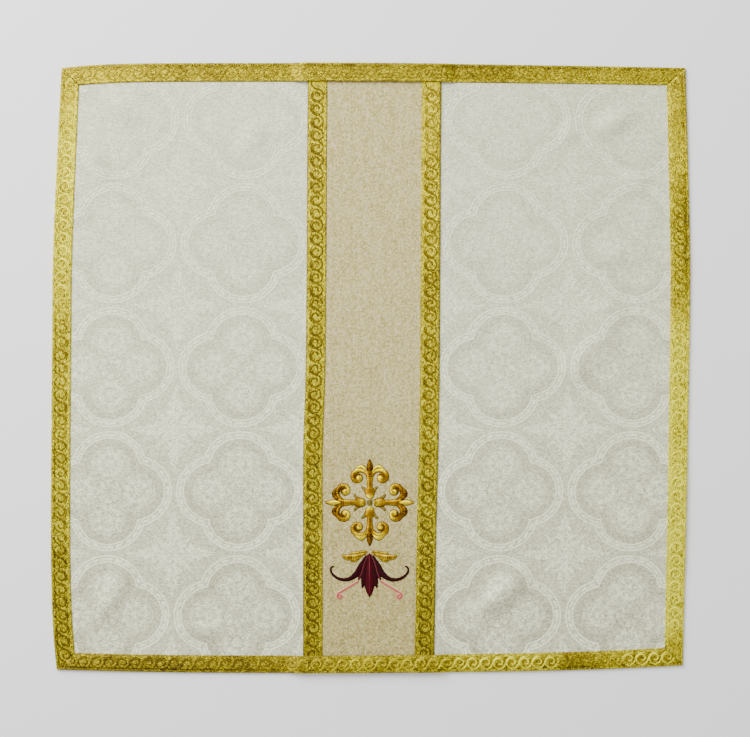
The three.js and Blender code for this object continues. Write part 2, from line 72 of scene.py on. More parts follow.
# Braids: width, rise of the border where it crosses the column, and how it climbs there
BORDER_WIDTH = 16.2
COLUMN_BRAID_WIDTH = 16.8
CROSSING_CLIMB = 2.4
CROSSING_REACH = COLUMN_BRAID_WIDTH / 2 + 2.5
CROSSING_RAMP = 12.0

# Embroidery: middles of the two motifs on the orphrey
CROSS_CENTRE = np.array([-0.6, -114.8])
FLOWER_APEX = np.array([-0.8, -157.6])


class Edge(Enum):
    """The four edges of the veil."""

    TOP = "top"
    RIGHT = "right"
    BOTTOM = "bottom"
    LEFT = "left"


class Side(Enum):
    """The two sides of the column, with the sign of the way outwards along X."""

    LEFT = -1
    RIGHT = 1

    @property
    def word(self) -> str:
        """The side's name in lower case."""
        return self.name.lower()


# Outline and folds


@dataclass(frozen=True)
class Corner:
    """A corner of the border braid, at its outer and at its inner edge."""

    outer: tuple[float, float]
    inner: tuple[float, float]


@dataclass(frozen=True)
class EdgeBow:
    """How an edge bows outwards between its corners, less at the braid's inner edge.

    The bow is widest at a share of the way along. The powers say how soon it rises to there and how
    late it falls away again.
    """

    start: str
    end: str
    out: tuple[int, int]
    bow: float
    inner_bow: float
    widest: float
    rise: float
    fall: float


@dataclass(frozen=True)
class Fold:
    """A soft ridge: its middle, the turn of its crest in degrees, its half length and half width."""

    x: float
    y: float
    turn: float
    long: float
    wide: float
    high: float


CORNERS = {
    "top_left": Corner(outer=(-264.8, 257.5), inner=(-249.8, 242.6)),
    "top_right": Corner(outer=(270.0, 257.7), inner=(253.8, 242.8)),
    "foot_right": Corner(outer=(267.7, -254.5), inner=(252.2, -239.5)),
    "foot_left": Corner(outer=(-269.0, -258.1), inner=(-253.4, -243.8)),
}

BOWS = {
    Edge.TOP: EdgeBow("top_left", "top_right", (0, 1), 4.35, 3.2, 0.4, 7, 1.6),
    Edge.RIGHT: EdgeBow("top_right", "foot_right", (1, 0), 5.1, 4.0, 0.35, 1.3, 1.3),
    Edge.BOTTOM: EdgeBow("foot_left", "foot_right", (0, -1), 4.5, 3.9, 0.6, 3, 2.5),
    Edge.LEFT: EdgeBow("top_left", "foot_left", (-1, 0), 6.3, 5.1, 0.35, 1.3, 7),
}

# Centre lines of the column's two braids, from head to foot at even steps
LINE_STEP = 65.5
LINE_HEAD = 262.0
COLUMN_LINES = {
    Side.LEFT: np.array([-45.4, -45.7, -46.1, -46.5, -47.1, -49.2, -49.4, -49.4, -49.4]),
    Side.RIGHT: np.array([52.5, 52.0, 51.6, 51.3, 50.9, 49.9, 48.2, 47.1, 46.1]),
}

FOLDS = {
    "head corner pucker": Fold(-211, 222, -40, 27, 14, 2.4),
    "head left edge pucker": Fold(-233, 180, -68, 30, 13, 1.8),
    "head left inner pucker": Fold(-103, 196, 58, 27, 15, 1.9),
    "foot left crease": Fold(-219, -190, 67, 44, 15, 3.2),
    "foot left ripple": Fold(-138, -224, 2, 44, 13, 2.0),
    "head right crease": Fold(209, 211, 29, 30, 14, 3.2),
    "head right dimple": Fold(169, 201, 50, 17, 13, 2.0),
    "right edge pucker": Fold(226, 160, -20, 19, 14, 2.2),
    "right shoulder crease": Fold(213, 97, -16, 30, 15, 2.6),
    "middle sweep, upper": Fold(205, 45, 98, 36, 22, 2.4),
    "middle sweep, lower": Fold(181, 6, 40, 44, 22, 3.0),
    "right edge crease": Fold(226, -134, -46, 32, 16, 3.4),
    "foot right crease": Fold(114, -192, 45, 46, 18, 4.0),
    "foot corner swell": Fold(216, -204, 12, 30, 20, 2.6),
    "left braid swell": Fold(-262, 128, 88, 95, 64, 1.1),
    "right braid swell": Fold(264, -122, 88, 85, 62, 1.0),
    "foot right crease, line": Fold(103, -200, 42, 36, 9, 1.5),
    "foot corner line": Fold(195, -220, -12, 22, 9, 1.3),
    "foot left crease, line": Fold(-230, -207, 61, 26, 9, 1.2),
}


def soft_fall(distance: Array) -> Array:
    """A number from 1 at the middle to 0 at the rim, with a soft start and a soft end."""
    return np.cos(np.clip(distance, 0, 1) * math.pi / 2) ** 2


def ease(share: Array) -> Array:
    """A smooth step from 0 to 1 over shares from 0 to 1."""
    share = np.clip(share, 0, 1)
    return share * share * (3 - 2 * share)


@dataclass(frozen=True)
class Ripple:
    """The faint unevenness of laid cloth, as a few crossing waves: lengths, headings and height."""

    lengths: tuple[float, ...] = (83.0, 57.0, 41.0, 29.0)
    headings: tuple[float, ...] = (24.0, 108.0, -37.0, 67.0)
    high: float = 0.05

    def height(self, x: Array, y: Array) -> Array:
        """Height of the waves.

        Args:
            x: Places along X.
            y: Places along Y.

        Returns:
            The heights, never below the table.
        """
        total = np.zeros(np.broadcast(x, y).shape)
        for index, (length, heading) in enumerate(zip(self.lengths, self.headings)):
            turn = math.radians(heading)
            along = x * math.cos(turn) + y * math.sin(turn)
            total = total + self.high * (1 + np.sin(math.tau * along / length + 1.7 * index))
        return total


@dataclass(frozen=True)
class Plan:
    """Where every cloth of the veil lies: its outline, its leaning column and its folds."""

    ripple: Ripple = field(default_factory=Ripple)
    passes: int = 4

    def lift(self, x: Array, y: Array) -> Array:
        """How far the cloth is lifted off the table.

        Args:
            x: Places along X.
            y: Places along Y.

        Returns:
            The heights of its ripple and folds there.
        """
        height = self.ripple.height(x, y)
        for fold in FOLDS.values():
            turn = math.radians(fold.turn)
            along = (x - fold.x) * math.cos(turn) + (y - fold.y) * math.sin(turn)
            across = (y - fold.y) * math.cos(turn) - (x - fold.x) * math.sin(turn)
            shape = soft_fall(np.abs(along) / fold.long) * soft_fall(np.abs(across) / fold.wide)
            height = height + fold.high * shape
        return height

    def lift_at(self, place: Array) -> Array:
        """The same for places in an array that ends in x and y."""
        return self.lift(place[..., 0], place[..., 1])

    def corner(self, name: str, inset: Array) -> Array:
        """A corner of the outline moved inwards, as an array that ends in x and y."""
        outer, inner = np.array(CORNERS[name].outer), np.array(CORNERS[name].inner)
        return outer + (inner - outer) * (np.asarray(inset, float) / BORDER_WIDTH)[..., None]

    def edge(self, name: Edge, share: Array, inset: Array) -> Array:
        """Points along an edge.

        Args:
            name: The edge.
            share: Shares of the way along it.
            inset: Distances inwards from the outline.

        Returns:
            An array that ends in x and y.
        """
        bow = BOWS[name]
        share, inset = np.broadcast_arrays(np.asarray(share, float), np.asarray(inset, float))
        near = np.clip(share, 0, 1)
        before = near < bow.widest
        away = np.where(before, 1 - near / bow.widest, (near - bow.widest) / (1 - bow.widest))
        full = bow.bow + (bow.inner_bow - bow.bow) * inset / BORDER_WIDTH
        reach = full * (1 - np.clip(away, 0, 1) ** np.where(before, bow.rise, bow.fall))
        start, end = self.corner(bow.start, inset), self.corner(bow.end, inset)
        straight = start + (end - start) * share[..., None]
        return straight + reach[..., None] * np.array(bow.out, float)

    def edge_length(self, name: Edge, inset: float = 0.0) -> float:
        """Straight length of an edge between its corners at an inset."""
        bow = BOWS[name]
        return float(np.linalg.norm(self.corner(bow.end, inset) - self.corner(bow.start, inset)))

    def edge_y(self, name: Edge, x: Array) -> Array:
        """Finds the cloth's head or foot edge.

        Args:
            name: Which of the two.
            x: Places along X.

        Returns:
            The y of the edge at each of them.
        """
        bow = BOWS[name]
        start, end = self.corner(bow.start, CLOTH_INSET), self.corner(bow.end, CLOTH_INSET)
        return self.edge(name, (x - start[0]) / (end[0] - start[0]), CLOTH_INSET)[..., 1]

    def cloth(self, u: Array, v: Array) -> Array:
        """Points of the whole cloth, blended between its four edges.

        Args:
            u: Shares of the way from left to right.
            v: Shares of the way from foot to head.

        Returns:
            An array that ends in x and y.
        """
        u, v = np.broadcast_arrays(np.asarray(u, float), np.asarray(v, float))
        up, over = v[..., None], u[..., None]
        foot, head = self.edge(Edge.BOTTOM, u, CLOTH_INSET), self.edge(Edge.TOP, u, CLOTH_INSET)
        left = self.edge(Edge.LEFT, 1 - v, CLOTH_INSET)
        right = self.edge(Edge.RIGHT, 1 - v, CLOTH_INSET)
        ruled = foot + (head - foot) * up
        across = left + (right - left) * over
        corners = {name: self.corner(name, CLOTH_INSET) for name in CORNERS}
        low = corners["foot_left"] + (corners["foot_right"] - corners["foot_left"]) * over
        high = corners["top_left"] + (corners["top_right"] - corners["top_left"]) * over
        return ruled + across - (low + (high - low) * up)

    def line(self, side: Side, y: Array) -> Array:
        """Finds a column braid's centre line, as a smooth curve through its table.

        Args:
            side: Which braid.
            y: Places along Y.

        Returns:
            The x of the line at each of them.
        """
        rows = COLUMN_LINES[side]
        steps = (LINE_HEAD - np.asarray(y, float)) / LINE_STEP
        row = np.clip(np.floor(steps), 0, len(rows) - 2).astype(int)
        share = steps - row
        last = len(rows) - 1
        before, here, following, after = (rows[np.clip(row + i, 0, last)] for i in (-1, 0, 1, 2))
        slope_here, slope_next = (following - before) / 2, (after - here) / 2
        rise = share * share * (3 - 2 * share)
        bend = slope_here * share * (1 - share) ** 2 + slope_next * share * share * (share - 1)
        return here + (following - here) * rise + bend

    def column(self, side: Side, beside: Array, share: Array) -> Array:
        """Points on lines that run from foot to head beside a column braid's centre line.

        Args:
            side: Which braid.
            beside: Distances along X from its centre line.
            share: Shares of the way from the foot edge to the head edge.

        Returns:
            An array that ends in x and y.
        """
        beside, share = np.broadcast_arrays(np.asarray(beside, float), np.asarray(share, float))
        x = self.line(side, 0.0) + beside
        y = np.zeros_like(x)
        for _ in range(self.passes):
            foot, head = self.edge_y(Edge.BOTTOM, x), self.edge_y(Edge.TOP, x)
            y = foot + (head - foot) * share
            x = self.line(side, y) + beside
        return np.stack([x, y], -1)


PLAN = Plan()


def frame_shift() -> Array:
    """Finds the move from the outline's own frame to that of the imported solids.

    Returns:
        Its x and y in millimetres.
    """
    low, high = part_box("cross_boss")
    middle = np.array([(low.x + high.x) / 2, (low.y + high.y) / 2]) / MM
    return middle - CROSS_CENTRE


SHIFT = frame_shift()


# Meshes


@dataclass
class Shell:
    """Points, faces, texture places and shades gathered for one mesh.

    The texture places are millimetres along and across the cloth. The shade is a number from 0 to 1
    that a thread finish turns into its colour.
    """

    points: list[Array] = field(default_factory=list)
    faces: list[list[int]] = field(default_factory=list)
    places: list[Array] = field(default_factory=list)
    shades: list[Array] = field(default_factory=list)
    slots: list[int] = field(default_factory=list)
    count: int = 0

    def add(self, points: Array, faces: Iterable[Sequence[int]], places: Array, shades: Array,
            slot: int = 0) -> None:
        """Adds a patch of points and faces.

        Args:
            points: Rows of x, y and z.
            faces: Rows of point numbers within the patch.
            places: A row of two for each point.
            shades: A number for each point.
            slot: The material slot of the faces.
        """
        rows = [[int(i) + self.count for i in face] for face in faces]
        self.points.append(np.asarray(points, float).reshape(-1, 3))
        self.places.append(np.asarray(places, float).reshape(-1, 2))
        self.shades.append(np.asarray(shades, float).reshape(-1))
        self.faces += rows
        self.slots += [slot] * len(rows)
        self.count += len(self.points[-1])

    def mesh(self, name: str, *materials: bpy.types.Material) -> bpy.types.Object:
        """Makes the gathered patches one object in metres, in the frame of the solids.

        Args:
            name: The object's name.
            materials: Its materials, in the order of the slots.

        Returns:
            The object, which sits at the origin.
        """
        points = np.concatenate(self.points)
        points[:, :2] += SHIFT
        data = bpy.data.meshes.new(name)
        data.from_pydata(points * MM, [], self.faces)
        data.update()
        corners = np.empty(len(data.loops), np.int32)
        data.loops.foreach_get("vertex_index", corners)
        places = np.concatenate(self.places)[corners]
        data.uv_layers.new(name="weave").data.foreach_set("uv", places.astype(np.float32).ravel())
        shade = data.attributes.new("shade", "FLOAT", "POINT")
        shade.data.foreach_set("value", np.concatenate(self.shades).astype(np.float32))
        data.polygons.foreach_set("material_index", np.array(self.slots, np.int32))
        for material in materials:
            data.materials.append(material)
        data.shade_smooth()
        made = bpy.data.objects.new(name, data)
        bpy.context.scene.collection.objects.link(made)
        return made


def quads(rows: int, columns: int, around: bool = False) -> Array:
    """Faces over a grid of points.

    Args:
        rows: Rows of points.
        columns: Points in a row.
        around: Whether the last point of a row joins the first.

    Returns:
        Rows of four point numbers.
    """
    steps = columns if around else columns - 1
    j, i = np.meshgrid(np.arange(rows - 1), np.arange(steps), indexing="ij")
    following = (i + 1) % columns
    here, above = j * columns, (j + 1) * columns
    return np.stack([here + i, here + following, above + following, above + i], -1).reshape(-1, 4)


def sheet_patch(top: Array, under: Array) -> tuple[Array, list[list[int]]]:
    """A closed sheet from the grids of its top and its underside.

    Args:
        top: Grid of rows, columns and x, y, z, seen counter-clockwise from above.
        under: The same for the underside.

    Returns:
        Its points and its faces.
    """
    rows, columns = top.shape[:2]
    lower = rows * columns
    faces = quads(rows, columns)
    rim = [*range(columns), *(j * columns + columns - 1 for j in range(1, rows)),
           *((rows - 1) * columns + i for i in range(columns - 2, -1, -1)),
           *(j * columns for j in range(rows - 2, 0, -1))]
    around = [[a, a + lower, b + lower, b] for a, b in zip(rim, rim[1:] + rim[:1])]
    points = np.concatenate([top.reshape(-1, 3), under.reshape(-1, 3)])
    return points, [*faces.tolist(), *(faces[:, ::-1] + lower).tolist(), *around]


def swept_patch(rings: Array) -> tuple[Array, list[list[int]]]:
    """A closed strip from the rings of its section.

    Args:
        rings: One ring of x, y, z for each station along the strip.

    Returns:
        Its points, and its faces with their fronts outwards.
    """
    stations, count = rings.shape[:2]
    faces = quads(stations, count, around=True)[:, ::-1].tolist()
    first = list(range(count))
    last = [(stations - 1) * count + i for i in range(count)]
    points, faces = rings.reshape(-1, 3), [*faces, first, last[::-1]]
    if signed_volume(points, faces) < 0:
        faces = [face[::-1] for face in faces]
    return points, faces


def signed_volume(points: Array, faces: Iterable[Sequence[int]]) -> float:
    """Measures what a closed mesh holds.

    Args:
        points: Rows of x, y and z.
        faces: Rows of point numbers.

    Returns:
        Six times the volume, above zero where the faces point outwards.
    """
    total = 0.0
    for face in faces:
        corners = points[list(face)]
        total += float(np.sum(np.cross(corners[1:-1], corners[2:]) @ corners[0]))
    return total


def smooth_spine(rows: Array, spacing: float) -> Array:
    """Points along a smooth curve through a table of x, y and half width.

    Args:
        rows: The table, one row for each place that the curve passes.
        spacing: The distance between the points.

    Returns:
        Rows of x, y and half width.
    """
    padded = np.vstack([2 * rows[0] - rows[1], rows, 2 * rows[-1] - rows[-2]])
    made: list[Array] = []
    for a, b, c, d in zip(padded, padded[1:], padded[2:], padded[3:]):
        gaps = [max(float(np.linalg.norm(q - p)) ** 0.5, 1e-3) for p, q in ((a, b), (b, c), (c, d))]
        first, middle, last = gaps
        leave = ((b - a) / first - (c - a) / (first + middle) + (c - b) / middle) * middle
        arrive = ((c - b) / middle - (d - b) / (middle + last) + (d - c) / last) * middle
        count = max(2, round(float(np.linalg.norm((c - b)[:2])) / spacing))
        share = np.linspace(0, 1, count, endpoint=False)[:, None]
        cubic = 2 * b - 2 * c + leave + arrive
        square = -3 * b + 3 * c - 2 * leave - arrive
        made.append(b + leave * share + square * share**2 + cubic * share**3)
    return np.vstack([*made, rows[-1:]])


def even_spine(spine: Array, spacing: float) -> Array:
    """Spreads the points of a line evenly.

    Args:
        spine: Rows of x, y and half width.
        spacing: The distance between the new points.

    Returns:
        The new rows.
    """
    steps = np.linalg.norm(np.diff(spine[:, :2], axis=0), axis=1)
    run = np.concatenate([[0], np.cumsum(steps)])
    count = max(3, round(run[-1] / spacing) + 1)
    at = np.linspace(0, run[-1], count)
    return np.stack([np.interp(at, run, spine[:, i]) for i in range(3)], -1)


def arch_spine(start: Sequence[float], over: Sequence[float], end: Sequence[float], half: float,
               tip: float, count: int = 24) -> Array:
    """Points of a curve that is widest in the middle.

    Args:
        start: Where it starts.
        over: Where its ends point to, and which it passes under.
        end: Where it ends.
        half: Half its width in the middle.
        tip: Half its width at the ends.
        count: How many points it has.

    Returns:
        Rows of x, y and half width.
    """
    share = np.linspace(0, 1, count)[:, None]
    curve = (1 - share) ** 2 * np.array(start) + 2 * share * (1 - share) * np.array(over)
    curve = curve + share**2 * np.array(end)
    width = tip + (half - tip) * np.sin(math.pi * share)
    return np.hstack([curve, width])


def spiral_spine(centre: Sequence[float], start_turn: float, sweep: float, start_radius: float,
                 end_radius: float, halves: Rows, count: int = 60) -> Array:
    """Points of a spiral that winds clockwise into its middle, or the other way below zero.

    Args:
        centre: Its middle.
        start_turn: Where it starts, in degrees from +X.
        sweep: How far it winds, in degrees.
        start_radius: Its radius where it starts.
        end_radius: Its radius where it ends.
        halves: Shares of the way, with half its width there.
        count: How many points it has.

    Returns:
        Rows of x, y and half width.
    """
    share = np.linspace(0, 1, count)
    turn = np.radians(start_turn - sweep * share)
    radius = end_radius + (start_radius - end_radius) * (1 - share) ** 2
    x = centre[0] + radius * np.cos(turn)
    y = centre[1] + radius * np.sin(turn)
    return np.stack([x, y, np.interp(share, *zip(*halves))], -1)


def stand_in(piece: bpy.types.Object, node: str) -> bpy.types.Object:
    """Attaches a piece to the root and hides the solid that it stands for.

    Args:
        piece: The piece.
        node: The solid that it stands for.

    Returns:
        The same piece.
    """
    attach(piece, "root")
    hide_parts(node)
    return piece


# Node graphs of the finishes


def paint(red: int, green: int, blue: int) -> tuple[float, float, float, float]:
    """Turns a display colour into the linear one that a shader takes.

    Args:
        red: Its red, from 0 to 255.
        green: Its green.
        blue: Its blue.

    Returns:
        The linear colour, opaque.
    """
    shown = (c / 255 for c in (red, green, blue))
    linear = [c / 12.92 if c <= 0.04045 else ((c + 0.055) / 1.055) ** 2.4 for c in shown]
    return linear[0], linear[1], linear[2], 1.0


@dataclass(frozen=True)
class Term:
    """A value in a material's node graph. Arithmetic on it adds Math nodes."""

    tree: bpy.types.NodeTree
    socket: bpy.types.NodeSocket

    def math(self, operation: str, *others: "Term | float") -> "Term":
        """Adds a Math node.

        Args:
            operation: What it works out.
            others: What it takes after this value.

        Returns:
            Its result.
        """
        node = self.tree.nodes.new("ShaderNodeMath")
        node.operation = operation
        for socket, value in zip(node.inputs, (self, *others)):
            if isinstance(value, Term):
                self.tree.links.new(value.socket, socket)
            else:
                socket.default_value = value
        return Term(self.tree, node.outputs[0])

    def __add__(self, other: "Term | float") -> "Term":
        """The sum of two values."""
        return self.math("ADD", other)

    def __sub__(self, other: "Term | float") -> "Term":
        """One value less another."""
        return self.math("SUBTRACT", other)

    def __mul__(self, other: "Term | float") -> "Term":
        """The product of two values."""
        return self.math("MULTIPLY", other)

    def __truediv__(self, other: "Term | float") -> "Term":
        """One value over another."""
        return self.math("DIVIDE", other)

    def size(self) -> "Term":
        """The value without its sign."""
        return self.math("ABSOLUTE")

    def least(self, other: "Term | float") -> "Term":
        """The smaller of two values."""
        return self.math("MINIMUM", other)

    def most(self, other: "Term | float") -> "Term":
        """The larger of two values."""
        return self.math("MAXIMUM", other)

    def wave(self, length: float, shift: float = 0.0) -> "Term":
        """A sine wave of this value, from -1 to 1."""
        return (self * (math.tau / length) + shift).math("SINE")

    def repeat(self, pitch: float) -> "Term":
        """The value wrapped to half a pitch each side of zero."""
        return self.math("WRAP", pitch / 2, -pitch / 2)

    def below(self, edge: "Term | float", soft: float) -> "Term":
        """Steps from 1 under an edge to 0 over it.

        Args:
            edge: The value in the middle of the step.
            soft: How wide the step is.

        Returns:
            The step.
        """
        gap = (self - edge) / soft + 0.5
        node = self.tree.nodes.new("ShaderNodeMapRange")
        node.interpolation_type = "SMOOTHSTEP"
        node.inputs["To Min"].default_value = 1.0
        node.inputs["To Max"].default_value = 0.0
        self.tree.links.new(gap.socket, node.inputs["Value"])
        return Term(self.tree, node.outputs[0])

    def line(self, at: "Term | float", width: float, soft: float) -> "Term":
        """1 along a line of a width where this value has a given size, and 0 beside it."""
        return (self - at).size().below(width / 2, soft)


def span(x: Term, y: Term) -> Term:
    """The length of a way of x and y."""
    return (x * x + y * y).math("SQRT")


class Graph:
    """A material with a Principled shader, and short calls for the nodes that the finishes use."""

    def __init__(self, name: str, roughness: float, metallic: float = 0.0, sheen: float = 0.0) -> None:
        """Makes the material.

        Args:
            name: The material's name.
            roughness: Roughness of the shader.
            metallic: How metallic it is.
            sheen: Weight of its sheen.
        """
        self.material = bpy.data.materials.new(name)
        self.material.use_nodes = True
        self.tree = self.material.node_tree
        self.shader = self.tree.nodes["Principled BSDF"]
        self.shader.inputs["Roughness"].default_value = roughness
        self.shader.inputs["Metallic"].default_value = metallic
        self.shader.inputs["Sheen Weight"].default_value = sheen
        self.shader.inputs["Sheen Roughness"].default_value = 0.4

    def term(self, socket: bpy.types.NodeSocket) -> Term:
        """A node's output as a value."""
        return Term(self.tree, socket)

    def node(self, kind: str, **inputs: object) -> bpy.types.Node:
        """Adds a node.

        Args:
            kind: Its type.
            inputs: Its inputs by name, with _ for a space, as values, terms or sockets.

        Returns:
            The node.
        """
        node = self.tree.nodes.new(kind)
        for name, value in inputs.items():
            socket = node.inputs[name.replace("_", " ")]
            if isinstance(value, Term):
                self.tree.links.new(value.socket, socket)
            elif isinstance(value, bpy.types.NodeSocket):
                self.tree.links.new(value, socket)
            else:
                socket.default_value = value
        return node

    def place(self) -> tuple[Term, Term]:
        """Reads the places on the piece.

        Returns:
            Their x and y, in millimetres.
        """
        source = self.tree.nodes.new("ShaderNodeTexCoord")
        split = self.node("ShaderNodeSeparateXYZ", Vector=source.outputs["Object"])
        return self.term(split.outputs["X"]) * (1 / MM), self.term(split.outputs["Y"]) * (1 / MM)

    def weave(self) -> tuple[Term, Term]:
        """Reads the piece's own map.

        Returns:
            Millimetres along and across the cloth or thread.
        """
        source = self.tree.nodes.new("ShaderNodeUVMap")
        source.uv_map = "weave"
        split = self.node("ShaderNodeSeparateXYZ", Vector=source.outputs["UV"])
        return self.term(split.outputs["X"]), self.term(split.outputs["Y"])

    def shade(self) -> Term:
        """Reads the piece's own shade.

        Returns:
            A number from 0 to 1.
        """
        source = self.tree.nodes.new("ShaderNodeAttribute")
        source.attribute_name = "shade"
        return self.term(source.outputs["Fac"])

    def vector(self, x: Term, y: Term) -> bpy.types.NodeSocket:
        """A vector of two values."""
        return self.node("ShaderNodeCombineXYZ", X=x, Y=y).outputs["Vector"]

    def noise(self, x: Term, y: Term, length: float, detail: float = 2.0) -> Term:
        """Smooth noise.

        Args:
            x: Places along X.
            y: Places along Y.
            length: Size of the noise, in the units of x and y.
            detail: How many finer layers it has.

        Returns:
            A number about 0.5.
        """
        node = self.node("ShaderNodeTexNoise", Vector=self.vector(x, y), Scale=1 / length,
                         Detail=detail)
        return self.term(node.outputs["Fac"])

    def speckle(self, x: Term, y: Term, wide: float, tall: float) -> Term:
        """A random number for each cell of a grid.

        Args:
            x: Places along X.
            y: Places along Y.
            wide: Width of a cell.
            tall: Its height.

        Returns:
            A number from 0 to 1.
        """
        cell = self.vector((x / wide).math("FLOOR"), (y / tall).math("FLOOR"))
        node = self.node("ShaderNodeTexWhiteNoise", Vector=cell)
        return self.term(node.outputs["Value"])

    def ramp(self, value: Term, stops: Stops) -> bpy.types.NodeSocket:
        """A colour for a value.

        Args:
            value: The value.
            stops: Values with their display colours.

        Returns:
            The colour, blended between them.
        """
        node = self.node("ShaderNodeValToRGB", Fac=value)
        elements = node.color_ramp.elements
        while len(elements) < len(stops):
            elements.new(1.0)
        for element, (at, colour) in zip(elements, stops):
            element.position = at
            element.color = paint(*colour)
        return node.outputs["Color"]

    def finish(self, colour: bpy.types.NodeSocket, roughness: Term | None = None,
               relief: Term | None = None, deep: float = 0.1) -> bpy.types.Material:
        """Links the shader.

        Args:
            colour: The base colour.
            roughness: The roughness, where it varies.
            relief: The height of the surface, from 0 to 1.
            deep: How far that height reaches, in millimetres.

        Returns:
            The finished material.
        """
        self.tree.links.new(colour, self.shader.inputs["Base Color"])
        if roughness is not None:
            self.tree.links.new(roughness.socket, self.shader.inputs["Roughness"])
        if relief is not None:
            bump = self.node("ShaderNodeBump", Distance=deep * MM, Height=relief)
            self.tree.links.new(bump.outputs["Normal"], self.shader.inputs["Normal"])
        return self.material


@dataclass(frozen=True)
class Damask:
    """Ivory damask: a tone-on-tone lattice of quatrefoils, with leafy stars between them.

    The repeat is made square by a stretch of y, and folded so that one lobe and one arm of a star
    stand for all. Tones run from 0, the dull side of the weave, to 1, its bright side.

    Attributes:
        pitch_x: Width of the repeat.
        pitch_y: Its height.
        centre_x: Middle of one quatrefoil.
        centre_y: The same, along Y.
        lean: How far the repeat's columns lean, as a slope.
        lobe_at: Distance of a lobe's middle from the quatrefoil's.
        tracery: Radii of a lobe's outer line, its beads and its inner line.
        beads: Beads on the full circle of a lobe.
        inside: Radius within which the lobes' lines are left out.
        ring: Inner and outer radius of the dull ring in a lobe.
        rosette_at: Distance of a rosette's middle from the quatrefoil's.
        rosette: Radius of a rosette.
        roundel: Radius of the roundel in the middle.
        star_arm: Length of a star's arm.
        star_half: Half its width at its foot.
        star_tooth: Length of one tooth of its edge.
        branch: Length of the branch between two arms.
        branch_half: Half its width at its foot.
        branch_tooth: Length of one tooth of its edge.
        lace: How often the lacy filling turns from dull to bright.
        thread: Width of a thread.
        bright: Display colour of the bright side.
        dull: Display colour of the dull side.
    """

    pitch_x: float = 111.9
    pitch_y: float = 106.3
    centre_x: float = 1.7
    centre_y: float = 0.8
    lean: float = 0.02
    lobe_at: float = 22.0
    tracery: tuple[float, float, float] = (31.6, 28.8, 26.0)
    beads: float = 22.0
    inside: float = 21.0
    ring: tuple[float, float] = (18.0, 25.2)
    rosette_at: float = 24.6
    rosette: float = 14.6
    roundel: float = 10.6
    star_arm: float = 40.0
    star_half: float = 11.0
    star_tooth: float = 7.0
    branch: float = 25.0
    branch_half: float = 5.0
    branch_tooth: float = 5.0
    lace: float = 34.0
    thread: float = 0.42
    bright: tuple[int, int, int] = (252, 252, 215)
    dull: tuple[int, int, int] = (146, 146, 112)

    def material(self) -> bpy.types.Material:
        """Builds the finish.

        Returns:
            Its material.
        """
        graph = Graph("ivory_damask", roughness=0.52, sheen=0.12)
        x, y = graph.place()
        tone = self.pattern(x - float(SHIFT[0]), y - float(SHIFT[1]))
        lace = (graph.noise(x, y, 5.0, detail=1.0) * self.lace).math("SINE")
        tone = tone + tone * lace * 0.6 - 0.5
        # Painted light: the figure's sheen shows less towards the head, and painted shade makes the
        # cloth darker towards the foot, as the light falls off there
        clear = y.below(60.0, 320.0) * 0.65 + 0.35
        fall = y.below(-110.0, 260.0) * -0.1
        grain = graph.speckle(x, y, 1.5, 0.9) - 0.5
        slub = graph.noise(x, y * 1.5, 2.0, detail=3.0) - 0.5
        cloud = graph.noise(x, y, 70.0) - 0.5
        threads = x.wave(self.thread) * 0.5 + y.wave(self.thread) * 0.5
        shade = tone * clear * 0.5 + grain * 0.42 + slub * 0.6 + cloud * 0.14 + fall + 0.59
        colour = graph.ramp(shade, [(0.0, self.dull), (1.0, self.bright)])
        roughness = tone * -0.12 + 0.52
        relief = tone * 0.6 + threads * 0.12 + grain * 0.25 + slub * 0.4
        return graph.finish(colour, roughness, relief, deep=0.16)

    def pattern(self, x: Term, y: Term) -> Term:
        """Draws the figure.

        Args:
            x: Places along X.
            y: Places along Y.

        Returns:
            Its tone at each place.
        """
        wide = self.pitch_x
        across = (x - y * self.lean - self.centre_x).repeat(wide).size()
        along = (y - self.centre_y).repeat(self.pitch_y).size() * (wide / self.pitch_y)
        tone = self.quatrefoil(across, along)
        return self.star(tone, across * -1.0 + wide / 2, along * -1.0 + wide / 2)

    def quatrefoil(self, across: Term, along: Term) -> Term:
        """Draws the quatrefoil and its tracery.

        Args:
            across: Distances from its middle along X, without their sign.
            along: The same along Y.

        Returns:
            Its tone at each place.
        """
        far, near = across.most(along), across.least(along)
        middle = span(across, along)
        lobe = span(far - self.lobe_at, near)
        outer, dots, inner = self.tracery
        beyond = middle.below(self.inside, 2.0) * -1.0 + 1.0
        turn = near.math("ARCTAN2", far - self.lobe_at)
        beads = lobe.line(dots, 2.2, 0.8) * ((turn * self.beads).math("SINE") * 0.5 + 0.5)
        lines = lobe.line(outer, 1.3, 0.6).most(lobe.line(inner, 1.1, 0.6)).most(beads * 0.8)
        band = lobe.line((outer + inner) / 2, outer - inner, 1.0) * 0.12
        tracery = (lines * 2.4).most(band) * beyond
        dark = lobe.line(sum(self.ring) / 2, self.ring[1] - self.ring[0], 1.2)
        tone = tracery + 0.36 - dark * 0.23
        rose_turn = near.math("ARCTAN2", far - self.rosette_at)
        rose = span(far - self.rosette_at, near)
        teeth = (rose_turn * 9.0).math("SINE") * 1.1 + (rose_turn * 19.0).math("SINE") * 0.6
        leaf = rose.below(teeth + self.rosette, 1.4)
        veins = (rose_turn * 9.0 + 1.5).math("SINE") * 0.3 + (rose * 0.85).math("SINE") * 0.4
        tone = tone + leaf * (veins * 0.55 + 0.28)
        eye = middle.below(self.roundel, 1.0)
        petals = (along.math("ARCTAN2", across) * 8.0).math("COSINE") * 0.25
        seal = middle.line(self.roundel + 0.6, 1.0, 0.8)
        return tone + eye * (petals + 0.2) - seal * 0.35

